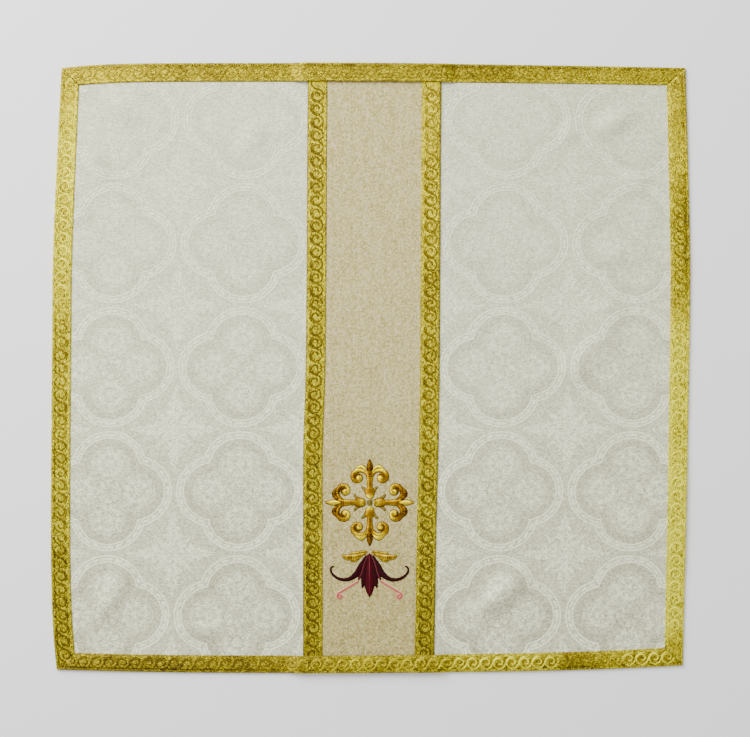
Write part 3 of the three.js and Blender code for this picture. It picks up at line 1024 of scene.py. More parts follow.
    def star(self, tone: Term, across: Term, along: Term) -> Term:
        """Adds the leafy star that stands between four quatrefoils.

        Args:
            tone: The tone of the quatrefoils.
            across: Distances from the star's middle along X, without their sign.
            along: The same along Y.

        Returns:
            The tone of both.
        """
        far, near = across.most(along), across.least(along)
        middle = span(across, along)
        saw = far.wave(self.star_tooth) * 0.28 + 1.0
        taper = (far * (-1 / self.star_arm) + 1.0).most(0.0)
        arm = near.below(taper * saw * self.star_half, 1.4) * far.below(self.star_arm, 1.5)
        slant = (far + near) * math.sqrt(0.5)
        beside = (far - near) * math.sqrt(0.5)
        notch = slant.wave(self.branch_tooth) * 0.3 + 1.0
        thinning = (slant * (-1 / self.branch) + 1.0).most(0.0)
        branch = beside.below(thinning * notch * self.branch_half, 1.2)
        vein = near.line(0.0, 0.9, 0.7) * far.below(self.star_arm - 4, 2.0)
        dots = span(far - 10.5, near - 4.2).below(1.7, 0.8)
        leaf = arm.most(branch * slant.below(self.branch, 1.0))
        inner = middle.line(6.0, 1.2, 0.8)
        return tone + leaf * 0.6 - vein * 0.4 - dots * 0.5 - inner * 0.4


@dataclass(frozen=True)
class GoldCloth:
    """Orphrey cloth: fine vertical ribs of pale gold and white threads, unevenly mixed.

    Attributes:
        rib: Width of a rib.
        pick: Height of one crossing thread.
        knot: Size of the bright and dull spots.
        stops: Shades and display colours.
    """

    rib: float = 0.95
    pick: float = 0.62
    knot: float = 1.25
    stops: Stops = (
        (0.0, (136, 118, 48)),
        (0.35, (182, 166, 96)),
        (0.6, (206, 194, 132)),
        (0.8, (222, 202, 158)),
        (1.0, (238, 228, 176)),
    )

    def material(self) -> bpy.types.Material:
        """Builds the finish.

        Returns:
            Its material.
        """
        graph = Graph("gold_cloth", roughness=0.5, metallic=0.12, sheen=0.1)
        x, y = graph.place()
        step = (x / self.rib).math("FLOOR")
        shifted = y + step.repeat(2.0).size() * (self.pick / 2)
        picks = graph.speckle(x, shifted, self.rib, self.pick)
        ribs = graph.speckle(x, y, self.rib * 2, 14.0)
        streaks = graph.noise(x, y * 0.15, 1.7)
        slub = graph.noise(x, y, 2.2, detail=3.0)
        knots = graph.speckle(x, y, self.knot, self.knot)
        # Painted shade: the cloth is darker towards the foot, as the light falls off there
        sheen = y.below(-120.0, 260.0) * -0.12
        shade = ribs * 0.1 + picks * 0.34 + knots * 0.42 + streaks * 0.2 + slub * 0.5 + sheen - 0.29
        colour = graph.ramp(shade, self.stops)
        rounded = x.wave(self.rib, -math.pi / 2) * 0.5 + shifted.wave(self.pick, -math.pi / 2) * 0.25
        return graph.finish(colour, picks * 0.2 + 0.42, rounded + picks * 0.3, deep=0.16)


@dataclass(frozen=True)
class Galloon:
    """Woven gold braid. The shade of the piece is painted sheen: it says how far its threads face the
    light there.

    Attributes:
        name: The material's name.
        stops: Display colours for threads from those turned away to those that face the light.
        lean: Added to the shade.
        grain: How unevenly the single threads shine.
        metallic: How metallic it is.
        roughness: Roughness of the shader.
        thread: Width of a thread.
        float_length: How far a thread runs over the others.
        spark: Length and width of the brightest painted glints.
    """

    name: str
    stops: Stops
    lean: float = 0.0
    grain: float = 0.42
    metallic: float = 0.95
    roughness: float = 0.45
    thread: float = 0.55
    float_length: float = 1.4
    spark: tuple[float, float] = (0.95, 0.85)

    def material(self) -> bpy.types.Material:
        """Builds the finish.

        Returns:
            Its material.
        """
        graph = Graph(self.name, self.roughness, self.metallic)
        x, y = graph.place()
        run, side = graph.weave()
        drift = graph.noise(x, y, 22.0, detail=1.0) - 0.5
        row = (side / self.thread).math("FLOOR")
        staggered = run + row.repeat(2.0).size() * (self.float_length / 2)
        threads = graph.speckle(staggered, side, self.float_length, self.thread) - 0.5
        twill = (run + side).wave(1.3)
        # Painted glints of the metal threads
        sparks = graph.speckle(run, side, *self.spark).math("POWER", 5.0)
        base = graph.shade()
        uneven = threads * (base * 0.8 + 0.3) * self.grain
        shade = base + drift * 0.3 + uneven + sparks * 0.4 + twill * 0.05 + self.lean - 0.06
        colour = graph.ramp(shade, self.stops)
        relief = twill * 0.15 + threads * 0.3 + side.wave(self.thread, -math.pi / 2) * 0.3
        return graph.finish(colour, threads * 0.2 + self.roughness, relief, deep=0.14)


@dataclass(frozen=True)
class Thread:
    """Satin-stitched thread. The shade runs through a table of colours, and the stitches lie across.

    Attributes:
        name: The material's name.
        stops: Shades and display colours.
        pitch: Width of a thread.
        mottle: How unevenly the thread takes its colour.
        gloss: Strength of its highlights.
        metallic: How metallic it is.
        roughness: Roughness of the shader.
    """

    name: str
    stops: Stops
    pitch: float = 0.48
    mottle: float = 0.25
    gloss: float = 0.25
    metallic: float = 0.0
    roughness: float = 0.42

    def material(self) -> bpy.types.Material:
        """Builds the finish.

        Returns:
            Its material.
        """
        graph = Graph(self.name, self.roughness, self.metallic)
        graph.shader.inputs["Specular IOR Level"].default_value = self.gloss
        run, side = graph.weave()
        strand = graph.speckle(run, side + 30.0, self.pitch, 60.0)
        twist = (run * 2.0 + side).wave(self.pitch * 1.6) * 0.5 + 0.5
        shade = graph.shade() + (strand - 0.5) * self.mottle + (twist - 0.5) * 0.08
        colour = graph.ramp(shade, self.stops)
        relief = run.wave(self.pitch) * 0.4 + twist * 0.2 + strand * 0.2
        return graph.finish(colour, strand * 0.16 + self.roughness - 0.08, relief, deep=0.1)


GOLD_STOPS = (
    (0.0, (66, 38, 0)),
    (0.25, (130, 90, 0)),
    (0.5, (180, 140, 0)),
    (0.75, (218, 184, 0)),
    (1.0, (246, 228, 8)),
)
LEAF_STOPS = (
    (0.0, (54, 30, 0)),
    (0.35, (146, 108, 0)),
    (0.7, (206, 176, 12)),
    (1.0, (246, 230, 96)),
)
OLIVE_STOPS = ((0.0, (70, 60, 0)), (0.5, (126, 110, 20)), (1.0, (184, 166, 70)))
CRIMSON_STOPS = ((0.0, (22, 0, 2)), (0.5, (64, 0, 8)), (1.0, (112, 0, 24)))
DARK_RED_STOPS = ((0.0, (16, 0, 3)), (0.5, (44, 0, 8)), (1.0, (78, 4, 18)))
ROSE_STOPS = ((0.0, (136, 52, 46)), (0.5, (206, 112, 92)), (1.0, (246, 184, 158)))
VEIN_STOPS = ((0.0, (60, 4, 14)), (1.0, (120, 32, 42)))
BRAID_STOPS = (
    (0.0, (70, 56, 18)),
    (0.25, (124, 107, 30)),
    (0.5, (174, 157, 26)),
    (0.75, (219, 206, 18)),
    (1.0, (255, 251, 62)),
)
SEWING_STOPS = ((0.0, (96, 80, 6)), (1.0, (170, 150, 50)))


# Braids


@dataclass(frozen=True)
class Section:
    """A braid's section.

    Attributes:
        across: Places across it from its outer edge.
        top: Height of its top at each of them.
        under: Height of its underside at each of them.
        groove: Where it turns down.
        groove_shade: How much darker the painted shadow makes the braid there.
        groove_reach: How far that reaches to each side.
    """

    across: tuple[float, ...]
    top: tuple[float, ...]
    under: tuple[float, ...]
    groove: float
    groove_shade: float
    groove_reach: float = 0.9

    def fade(self, across: Array) -> Array:
        """The painted shadow in the groove: how much darker it makes the braid at distances across."""
        return self.groove_shade * np.exp(-(((across - self.groove) / self.groove_reach) ** 2))

    def height(self, across: Array) -> Array:
        """Height of the top at distances across."""
        return np.interp(across, self.across, self.top)


BORDER_SECTION = Section(
    across=(0.0, 0.3, 1.0, 1.9, 2.5, 3.1, 4.2, 8.1, 12.4, 14.6, 15.7, 16.2),
    top=(1.15, 1.75, 2.15, 2.18, 1.82, 2.12, 2.24, 2.3, 2.24, 2.18, 2.04, 1.7),
    under=(0.0, 0.0, 0.0, 1.22, 1.22, 1.22, 1.22, 1.22, 1.22, 1.22, 1.22, 1.22),
    # Painted shadow in the groove where the braid turns down
    groove=2.5,
    groove_shade=0.3,
)
COLUMN_SECTION = Section(
    across=(0.0, 0.4, 1.1, 2.0, 3.2, 8.4, 13.6, 15.4, 16.3, 16.8),
    top=(1.75, 2.3, 2.85, 3.12, 3.2, 3.26, 3.2, 3.14, 3.02, 2.75),
    under=(1.22, 1.4, 2.0, 2.42, 2.42, 2.42, 2.42, 2.42, 2.42, 2.42),
    groove=0.5,
    # Painted shadow in the groove where the braid turns down
    groove_shade=0.2,
)

# Painted sheen: how brightly each braid shines in the light, by shares of the way along it: first its
# scroll, then its ground
BRAID_PAINTED_SHEEN = {
    "border_top": ((0, 0.42, 0.48), (0.12, 0.4, 0.46), (0.2, 0.36, 0.38), (0.5, 0.36, 0.42),
                   (0.72, 0.3, 0.42), (0.8, 0.42, 0.5), (1, 0.44, 0.52)),
    "border_right": ((0, 0.35, 0.52), (0.17, 0.8, 0.66), (0.22, 0.28, 0.5), (0.37, 0.34, 0.58),
                     (0.46, 0.98, 0.94), (0.62, 0.92, 0.94), (0.72, 1.05, 1.04), (0.92, 1.0, 0.98),
                     (1, 0.3, 0.56)),
    "border_bottom": ((0, 0.16, 0.34), (0.2, 0.1, 0.28), (0.33, 0.24, 0.32), (0.38, 0.56, 0.38),
                      (0.6, 0.62, 0.44), (0.66, 0.88, 0.56), (0.79, 0.88, 0.56), (0.815, 0.22, 0.34),
                      (0.84, 0.3, 0.36), (0.86, 0.46, 0.5), (0.9, 0.6, 0.54), (0.915, 0.92, 0.6),
                      (0.96, 0.95, 0.6), (1, 0.5, 0.5)),
    "border_left": ((0, 0.3, 0.56), (0.05, 0.5, 0.66), (0.12, 0.95, 0.76), (0.36, 0.92, 0.78),
                    (0.43, 0.3, 0.66), (0.72, 0.26, 0.64), (0.82, 0.16, 0.54), (1, 0.16, 0.5)),
    "column_left": ((0, 0.14, 0.44), (0.15, 0.18, 0.5), (0.5, 0.2, 0.54), (1, 0.22, 0.48)),
    "column_right": ((0, 0.12, 0.42), (0.12, 0.18, 0.5), (0.3, 0.24, 0.56), (0.83, 0.28, 0.54),
                     (0.87, 0.44, 0.56), (1, 0.3, 0.5)),
}


@dataclass(frozen=True)
class BraidCourse:
    """Where a braid runs. It turns distances along, across and above it into places.

    Attributes:
        name: Its name.
        section: Its section.
        width: Its width.
        length: Its length.
        hidden: How much of each end lies under another braid.
        cord_half: Half the width of its scroll's cord.
    """

    name: str
    section: Section
    width: float
    length: float
    hidden: float = 0.0
    cord_half: float = 0.9

    @property
    def hand(self) -> int:
        """1 where along, across and up are right-handed, and -1 where they aren't."""
        raise NotImplementedError

    def gleam(self, along: Array, scroll: bool) -> Array:
        """The painted sheen: how brightly the scroll, or else the ground, shines at distances along the
        braid.
        """
        shares, scrolls, grounds = zip(*BRAID_PAINTED_SHEEN[self.name])
        return np.interp(along / self.length, shares, scrolls if scroll else grounds)

    def at(self, along: Array, across: Array) -> Array:
        """Points of the plan, as an array that ends in x and y."""
        raise NotImplementedError

    def climb(self, place: Array) -> Array:
        """How far the braid climbs over what it crosses."""
        return np.zeros(place.shape[:-1])

    def span(self, across: Array) -> tuple[Array, Array]:
        """Where the braid starts and ends along itself at distances across it."""
        return np.zeros_like(across), np.full_like(across, self.length)

    def lay(self, points: Array) -> Array:
        """Lays points on the braid.

        Args:
            points: Rows of along, across and height above the braid's top.

        Returns:
            Their places.
        """
        place = self.at(points[..., 0], points[..., 1])
        base = self.section.height(points[..., 1]) + self.climb(place)
        height = PLAN.lift_at(place) + base + points[..., 2]
        return np.concatenate([place, height[..., None]], -1)


@dataclass(frozen=True)
class BorderCourse(BraidCourse):
    """A length of the border, mitred at both ends."""

    edge: Edge = Edge.TOP
    mitre_gap: float = 0.12

    @property
    def hand(self) -> int:
        """The turn from along to across."""
        return 1 if self.edge in (Edge.BOTTOM, Edge.LEFT) else -1

    def at(self, along: Array, across: Array) -> Array:
        """Points of the plan."""
        share = (along - across) / (self.length - 2 * across)
        return PLAN.edge(self.edge, share, across)

    def span(self, across: Array) -> tuple[Array, Array]:
        """Where the mitres cut the braid."""
        return across + self.mitre_gap, self.length - across - self.mitre_gap

    def climb(self, place: Array) -> Array:
        """The climb over the column, at the head and the foot.

        Args:
            place: Places on the braid.

        Returns:
            How far it climbs there.
        """
        if self.edge in (Edge.LEFT, Edge.RIGHT):
            return np.zeros(place.shape[:-1])
        y = PLAN.edge(self.edge, 0.5, self.width / 2)[1]
        left = float(PLAN.line(Side.LEFT, y)) - CROSSING_REACH
        right = float(PLAN.line(Side.RIGHT, y)) + CROSSING_REACH
        outside = np.maximum(np.maximum(left - place[..., 0], place[..., 0] - right), 0)
        return CROSSING_CLIMB * ease(1 - outside / CROSSING_RAMP)


@dataclass(frozen=True)
class ColumnCourse(BraidCourse):
    """A length of braid beside the orphrey, from the foot edge to the head edge."""

    hidden: float = 14.0
    cord_half: float = 1.08
    side: Side = Side.LEFT

    @property
    def hand(self) -> int:
        """The turn from along to across."""
        return self.side.value

    def at(self, along: Array, across: Array) -> Array:
        """Points of the plan."""
        beside = self.side.value * (self.width / 2 - across)
        return PLAN.column(self.side, beside, along / self.length)


@dataclass(frozen=True)
class Unit:
    """A small shape that repeats along a braid, in its own millimetres."""

    points: Array
    faces: list[list[int]]


SCROLL_PITCH = 11.1


def scroll_unit(hand: int, half: float, turns: float = 1.35, tail: float = 0.38,
                stations: int = 18) -> Unit:
    """One link of the running scroll: a cord that winds out of one eye and over the next.

    Args:
        hand: 1 for a cord that winds out counter-clockwise, and -1 for the other way.
        half: Half its width.
        turns: How far it winds in its own eye.
        tail: How far it runs round the next one.
        stations: Points along it.

    Returns:
        The cord as a ridge.
    """
    reach = SCROLL_PITCH / 2
    closing, curling, curling_from = 0.9, 3.6, 0.45
    wound = np.linspace(turns, -tail, stations)
    away = np.abs(wound)
    radius = reach - closing * away - curling * np.maximum(away - curling_from, 0)
    side = np.where(wound < 0, 1, -1)
    x = side * (reach - radius * np.cos(math.tau * wound))
    spine = np.stack([x, -hand * radius * np.sin(math.tau * wound)], -1)
    run = np.gradient(spine, axis=0)
    run /= np.linalg.norm(run, axis=1, keepdims=True)
    wide = half * np.interp(wound, (-tail, -tail * 0.6, turns - 0.2, turns), (0.5, 1, 1, 0.6))
    beside = np.stack([-run[:, 1], run[:, 0]], -1) * wide[:, None]
    low, high = np.full(len(spine), -0.04), np.full(len(spine), 0.14)
    sides = [(spine + beside, low), (spine - beside, low), (spine, high)]
    rings = np.stack([np.column_stack([place, level]) for place, level in sides], 1)
    points, faces = swept_patch(rings)
    return Unit(points, faces)


def bead_unit(long: float, wide: float, high: float) -> Unit:
    """A low pillow with a flat foot, for a loop of bright thread or a stitch.

    Args:
        long: Its length.
        wide: Its width.
        high: Its height.

    Returns:
        The pillow.
    """
    cut, sunk = 0.55, -0.06
    foot = [(-1, -cut), (-cut, -1), (cut, -1), (1, -cut), (1, cut), (cut, 1), (-cut, 1), (-1, cut)]
    ring = np.array([(x * long / 2, y * wide / 2, sunk) for x, y in foot])
    crown = np.array([(x * cut * long / 2, y * cut * wide / 2, high) for x, y in foot[::2]])
    points = np.vstack([ring, crown])
    faces = [list(range(7, -1, -1)), [8, 9, 10, 11]]
    for i in range(4):
        a, b, c, following = 2 * i, 2 * i + 1, (2 * i + 2) % 8, 8 + (i + 1) % 4
        faces += [[a, b, 8 + i], [b, c, following, 8 + i]]
    return Unit(points, faces)


class RowTree:
    """A Geometry Nodes tree that repeats a unit in rows from the points of the object's own mesh."""

    def __init__(self) -> None:
        """Builds the tree."""
        self.tree = bpy.data.node_groups.new("rows_of_units", "GeometryNodeTree")
        made = self.tree.interface.new_socket
        made(name="Geometry", in_out="OUTPUT", socket_type="NodeSocketGeometry")
        for name, kind in (("Row Starts", "Geometry"), ("Unit", "Object"), ("Count", "Int"),
                           ("Pitch", "Float"), ("Least Size", "Float"), ("Seed", "Int"),
                           ("Material", "Material")):
            made(name=name, in_out="INPUT", socket_type=f"NodeSocket{kind}")
        add, link = self.tree.nodes.new, self.tree.links.new
        given, result = add("NodeGroupInput"), add("NodeGroupOutput")
        step = add("ShaderNodeCombineXYZ")
        link(given.outputs["Pitch"], step.inputs["X"])
        row = add("GeometryNodeMeshLine")
        row.mode = "OFFSET"
        link(given.outputs["Count"], row.inputs["Count"])
        link(step.outputs["Vector"], row.inputs["Offset"])
        rows, flat = add("GeometryNodeInstanceOnPoints"), add("GeometryNodeRealizeInstances")
        link(given.outputs["Row Starts"], rows.inputs["Points"])
        link(row.outputs["Mesh"], rows.inputs["Instance"])
        link(rows.outputs["Instances"], flat.inputs["Geometry"])
        unit = add("GeometryNodeObjectInfo")
        link(given.outputs["Unit"], unit.inputs["Object"])
        size = add("FunctionNodeRandomValue")
        size.data_type = "FLOAT"
        floats = [s for s in size.inputs if s.type == "VALUE"]
        link(given.outputs["Least Size"], floats[0])
        floats[1].default_value = 1.0
        link(given.outputs["Seed"], size.inputs["Seed"])
        scatter = add("GeometryNodeInstanceOnPoints")
        link(flat.outputs["Geometry"], scatter.inputs["Points"])
        link(unit.outputs["Geometry"], scatter.inputs["Instance"])
        link([s for s in size.outputs if s.type == "VALUE"][0], scatter.inputs["Scale"])
        real, dress = add("GeometryNodeRealizeInstances"), add("GeometryNodeSetMaterial")
        link(scatter.outputs["Instances"], real.inputs["Geometry"])
        link(real.outputs["Geometry"], dress.inputs["Geometry"])
        link(given.outputs["Material"], dress.inputs["Material"])
        link(dress.outputs["Geometry"], result.inputs["Geometry"])

    def socket(self, name: str) -> str:
        """The identifier of a named input."""
        return next(i.identifier for i in self.tree.interface.items_tree
                    if i.name == name and i.in_out == "INPUT")

    def grow(self, unit: Unit, starts: Array, count: int, pitch: float, least: float,
             seed: int, material: bpy.types.Material) -> bpy.types.Mesh:
        """Repeats a unit in rows.

        Args:
            unit: The shape.
            starts: The first place of each row.
            count: Units in a row.
            pitch: Distance from one to the next.
            least: Least size of a unit, as a share of the full one.
            seed: Seed of the sizes.
            material: The material of all.

        Returns:
            A plain mesh in the unit's own millimetres.
        """
        shape = bpy.data.meshes.new("unit")
        shape.from_pydata(unit.points, [], unit.faces)
        source = bpy.data.objects.new("unit", shape)
        base = bpy.data.meshes.new("starts")
        base.from_pydata(starts, [], [])
        carrier = bpy.data.objects.new("starts", base)
        for made in (source, carrier):
            bpy.context.scene.collection.objects.link(made)
        modifier = carrier.modifiers.new("rows", "NODES")
        modifier.node_group = self.tree
        values = {"Unit": source, "Count": count, "Pitch": pitch, "Least Size": least, "Seed": seed,
                  "Material": material}
        for name, value in values.items():
            modifier[self.socket(name)] = value
        graph = bpy.context.evaluated_depsgraph_get()
        mesh = bpy.data.meshes.new_from_object(carrier.evaluated_get(graph))
        carrier.modifiers.clear()
        for made in (source, carrier):
            bpy.data.objects.remove(made)
        return mesh


@dataclass
class Braid:
    """One length of galloon: its woven strip, its running scroll, its bright edges and its sewing.

    Attributes:
        course: Where it runs.
        node: The solid that its strip stands for.
        rows: The tree that repeats its small shapes.
        finishes: The finish of each of its pieces.
        seed: Seed of the sizes of its loops and stitches.
        loop: Length, width and height of a loop.
        loop_pitch: Distance from one loop to the next.
        loop_insets: Distances of the rows of loops from an edge.
        loop_least: Least size of a loop, as a share of the full one.
        stitch: Length, width and height of a sewing stitch.
        stitch_pitch: Distance from one stitch to the next.
        stitch_inset: Distance of the sewing from an edge.
        stitch_least: Least size of a stitch, as a share of the full one.
        stagger: How far every other row starts later, as a share of the pitch.
        station: Distance between the strip's stations.
        band_half: Half the width of the band under the scroll.
        sinking: How much painted shade darkens that band where the scroll's painted sheen is bright.
        sinking_from: The scroll's painted sheen from which the band takes that painted shade.
        turned_down: How much of the strip's width is turned down or bowed; not used.
    """

    course: BraidCourse
    node: str
    rows: RowTree
    finishes: dict[str, bpy.types.Material]
    seed: int
    loop: tuple[float, float, float] = (1.3, 1.0, 0.3)
    loop_pitch: float = 2.1
    loop_insets: tuple[float, ...] = (1.25, 2.35)
    loop_least: float = 0.45
    stitch: tuple[float, float, float] = (2.3, 0.34, 0.2)
    stitch_pitch: float = 3.1
    stitch_inset: float = 0.55
    stitch_least: float = 0.9
    stagger: float = 0.37
    station: float = 2.0
    band_half: float = 4.9
    sinking: float = 0.35
    sinking_from: float = 0.35
    turned_down: float = 1.2

    def build(self) -> list[bpy.types.Object]:
        """Builds and dresses the braid.

        Returns:
            Its pieces, the strip first.
        """
        strip = self.strip()
        width = self.course.width
        scroll = scroll_unit(self.course.hand, self.course.cord_half)
        loops = [*self.loop_insets, *(width - inset for inset in self.loop_insets)]
        seams = [self.stitch_inset, width - self.stitch_inset]
        extras = [
            self.relief("scroll", scroll, [width / 2], SCROLL_PITCH, 1.0),
            self.relief("loops", bead_unit(*self.loop), loops, self.loop_pitch, self.loop_least),
            self.relief("sewing", bead_unit(*self.stitch), seams, self.stitch_pitch,
                        self.stitch_least),
        ]
        self.dress(strip, extras)
        return [strip, *extras]

    def strip(self) -> bpy.types.Object:
        """Weaves the strip.

        Returns:
            A piece that is closed all round.
        """
        section = self.course.section
        across = np.array([*section.across, *section.across[::-1]])
        low, high = self.course.span(across)
        shares = np.linspace(0, 1, round(self.course.length / self.station) + 1)[:, None]
        along = low + (high - low) * shares
        sideways = np.broadcast_to(across, along.shape)
        place = self.course.at(along, sideways)
        level = np.array([*section.top, *section.under[::-1]])
        on_table = level == 0
        climbs = np.where(on_table, 0.0, self.course.climb(place))
        height = PLAN.lift_at(place) * ~on_table + level + climbs
        points, faces = swept_patch(np.concatenate([place, height[..., None]], -1))
        shell = Shell()
        # Painted light: the ground takes the braid's painted sheen, the band under a shining scroll
        # takes painted shade, and the groove a painted shadow
        band = np.abs(sideways - self.course.width / 2) < self.band_half
        bright = np.clip(self.course.gleam(along, scroll=True) - self.sinking_from, 0, 1)
        sunk = bright * band * self.sinking
        shade = self.course.gleam(along, scroll=False) - section.fade(sideways) - sunk
        shell.add(points, faces, np.stack([along, sideways], -1), shade)
        return shell.mesh(f"{self.course.name}_strip", self.finishes["strip"])

    def relief(self, kind: str, unit: Unit, rows: Sequence[float], pitch: float,
               least: float) -> bpy.types.Object:
        """A repeated relief laid on the strip and cut at its ends.

        Args:
            kind: What it is, which is also the finish that it takes.
            unit: The shape that repeats.
            rows: How far across the braid each row lies.
            pitch: Distance from one unit to the next.
            least: Least size of a unit.

        Returns:
            The piece.
        """
        shown = self.course.length - 2 * self.course.hidden
        count = int(shown / pitch)
        slack = (shown - count * pitch) / 2
        first = self.course.hidden + pitch / 2 + slack
        starts = np.array([(first + (i % 2) * pitch * self.stagger, across, 0.0)
                           for i, across in enumerate(rows)])
        mesh = self.rows.grow(unit, starts, count, pitch, least, self.seed, self.finishes[kind])
        self.cut_ends(mesh)
        points = np.empty(len(mesh.vertices) * 3, np.float32)
        mesh.vertices.foreach_get("co", points)
        points = points.reshape(-1, 3).astype(float)
        faces = [list(face.vertices)[::self.course.hand] for face in mesh.polygons]
        shell = Shell()
        # Painted sheen along the braid, on its scroll, loops and sewing as well
        shade = self.course.gleam(points[:, 0], scroll=kind == "scroll")
        shell.add(self.course.lay(points), faces, points[:, :2], shade)
        bpy.data.meshes.remove(mesh)
        return shell.mesh(f"{self.course.name}_{kind}", self.finishes[kind])

    def cut_ends(self, mesh: bpy.types.Mesh) -> None:
        """Cuts a relief that is still straight at the braid's two ends, and closes the cuts.

        Args:
            mesh: The relief.
        """
        shape = bmesh.new()
        shape.from_mesh(mesh)
        width = self.course.width
        for ends, way in zip(self.course.span(np.array([0.0, width])), (-1, 1)):
            outer, inner = (float(end) for end in ends)
            along = Vector((inner - outer, width, 0)).normalized()
            out = Vector((way * along.y, -way * along.x, 0))
            cut = bmesh.ops.bisect_plane(shape, geom=[*shape.verts, *shape.edges, *shape.faces],
                                         plane_co=Vector((outer, 0, 0)), plane_no=out,
                                         clear_outer=True)
            edges = [e for e in cut["geom_cut"] if isinstance(e, bmesh.types.BMEdge)]
            bmesh.ops.holes_fill(shape, edges=edges)
        shape.to_mesh(mesh)
        shape.free()

    def dress(self, strip: bpy.types.Object, extras: Sequence[bpy.types.Object]) -> None:
        """Attaches the strip and the pieces sewn to it to the root, and hides the solid that the strip
        stands for.

        Args:
            strip: The strip.
            extras: The pieces sewn to it.
        """
        for piece in (strip, *extras):
            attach(piece, "root")
        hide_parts(self.node)
        width = (self.course.width + self.turned_down) * MM


# Cloths


def cloth_over(name: str, finish: bpy.types.Material, place: Array, under: float,
               top: float) -> bpy.types.Object:
    """Lays a closed sheet over the folds.

    Args:
        name: Its name.
        finish: Its finish.
        place: A grid of places that ends in x and y.
        under: Height of its underside where nothing lifts it.
        top: Height of its top there.

    Returns:
        The piece.
    """
    lift = PLAN.lift_at(place)
    points, faces = sheet_patch(np.dstack([place, lift + top]), np.dstack([place, lift + under]))
    shell = Shell()
    flat = place.reshape(-1, 2)
    shell.add(points, faces, np.concatenate([flat, flat]), np.full(len(points), 0.5))
    return shell.mesh(name, finish)


@dataclass
class GroundCloth:
    """The full-size damask cloth under everything, hemmed under the border."""

    finish: bpy.types.Material
    columns: int = 168
    rows: int = 160

    def build(self) -> bpy.types.Object:
        """Builds and dresses the cloth.

        Returns:
            The piece.
        """
        u, v = np.linspace(0, 1, self.columns), np.linspace(0, 1, self.rows)[:, None]
        place = PLAN.cloth(u, v)
        made = cloth_over("veil_ground", self.finish, place, under=0.0, top=GROUND_TOP)
        stand_in(made, "ground_damask")
        return made


@dataclass
class Orphrey:
    """The gold cloth of the column, from edge to edge of the ground."""

    finish: bpy.types.Material
    columns: int = 34
    rows: int = 180

    def build(self) -> bpy.types.Object:
        """Builds and dresses the cloth.

        Returns:
            The piece.
        """
        share = np.linspace(0, 1, self.rows)[:, None]
        left = PLAN.column(Side.LEFT, -ORPHREY_UNDER_BRAID, share)
        right = PLAN.column(Side.RIGHT, ORPHREY_UNDER_BRAID, share)
        place = left + (right - left) * np.linspace(0, 1, self.columns)[:, None]
        made = cloth_over("orphrey", self.finish, place, ORPHREY_UNDER, ORPHREY_TOP)
        stand_in(made, "orphrey_cloth")
        return made


# Embroidery


@dataclass(frozen=True)
class ShadeRule:
    """How the shade of a satin strip changes.

    Attributes:
        stops: Shares of the way along it, with the shade there.
        lean: Added on one side of the strip and taken away on the other, as painted sheen on the side
            that catches the light.
        rim: Added at both rims.
    """

    stops: Rows
    lean: float = 0.0
    rim: float = 0.0

    def at(self, share: Array, across: Array) -> Array:
        """The shade at shares of the way along and at places across from -1 to 1."""
        return np.interp(share, *zip(*self.stops)) + self.lean * across + self.rim * across**2


def flat_shade(value: float) -> ShadeRule:
    """One shade all over."""
    return ShadeRule(((0, value),))


def cross_shade(middle: float, rim: float) -> ShadeRule:
    """A shade in the middle of a strip that turns to another at its rims."""
    return ShadeRule(((0, middle),), rim=rim - middle)


OUTLINE_SHADE = flat_shade(0.06)
# Thread tones and painted sheen: the gold is painted lit or shaded by how its stitches lie to the light
SHARED_SHADES = {
    "sepal": ShadeRule(((0, 0.35), (1, 0.6))),
    "eye": ShadeRule(((0, 0.45), (0.6, 0.95), (1, 0.8))),
}
UPRIGHT_TONES_AND_SHEEN = SHARED_SHADES | {
    "stem": cross_shade(0.16, 0.78),
    "cup": ShadeRule(((0, 1.0), (0.22, 0.9), (0.38, 0.3), (1, 0.32)), rim=0.15),
    "spear": ShadeRule(((0, 0.22), (0.5, 0.08), (1, 0.16))),
    "crest": ShadeRule(((0, 0.6), (0.4, 0.98), (1, 0.7)), lean=0.3),
    "volute": ShadeRule(
        ((0, 0.45), (0.25, 0.55), (0.42, 0.98), (0.62, 0.3), (0.8, 0.35), (1, 0.8)), lean=0.2),
}
CROSSWISE_TONES_AND_SHEEN = SHARED_SHADES | {
    "stem": cross_shade(0.3, 0.66),
    "cup": ShadeRule(((0, 0.25), (0.3, 0.8), (0.7, 0.55), (1, 0.4)), rim=-0.5),
    "spear": ShadeRule(((0, 0.75), (0.4, 1.0), (1, 0.7))),
    "crest": ShadeRule(((0, 0.3), (0.5, 0.1), (1, 0.16))),
    "volute": ShadeRule(
        ((0, 0.3), (0.3, 0.3), (0.5, 0.2), (0.68, 0.5), (0.8, 0.9), (1, 0.6)), lean=0.15),
}


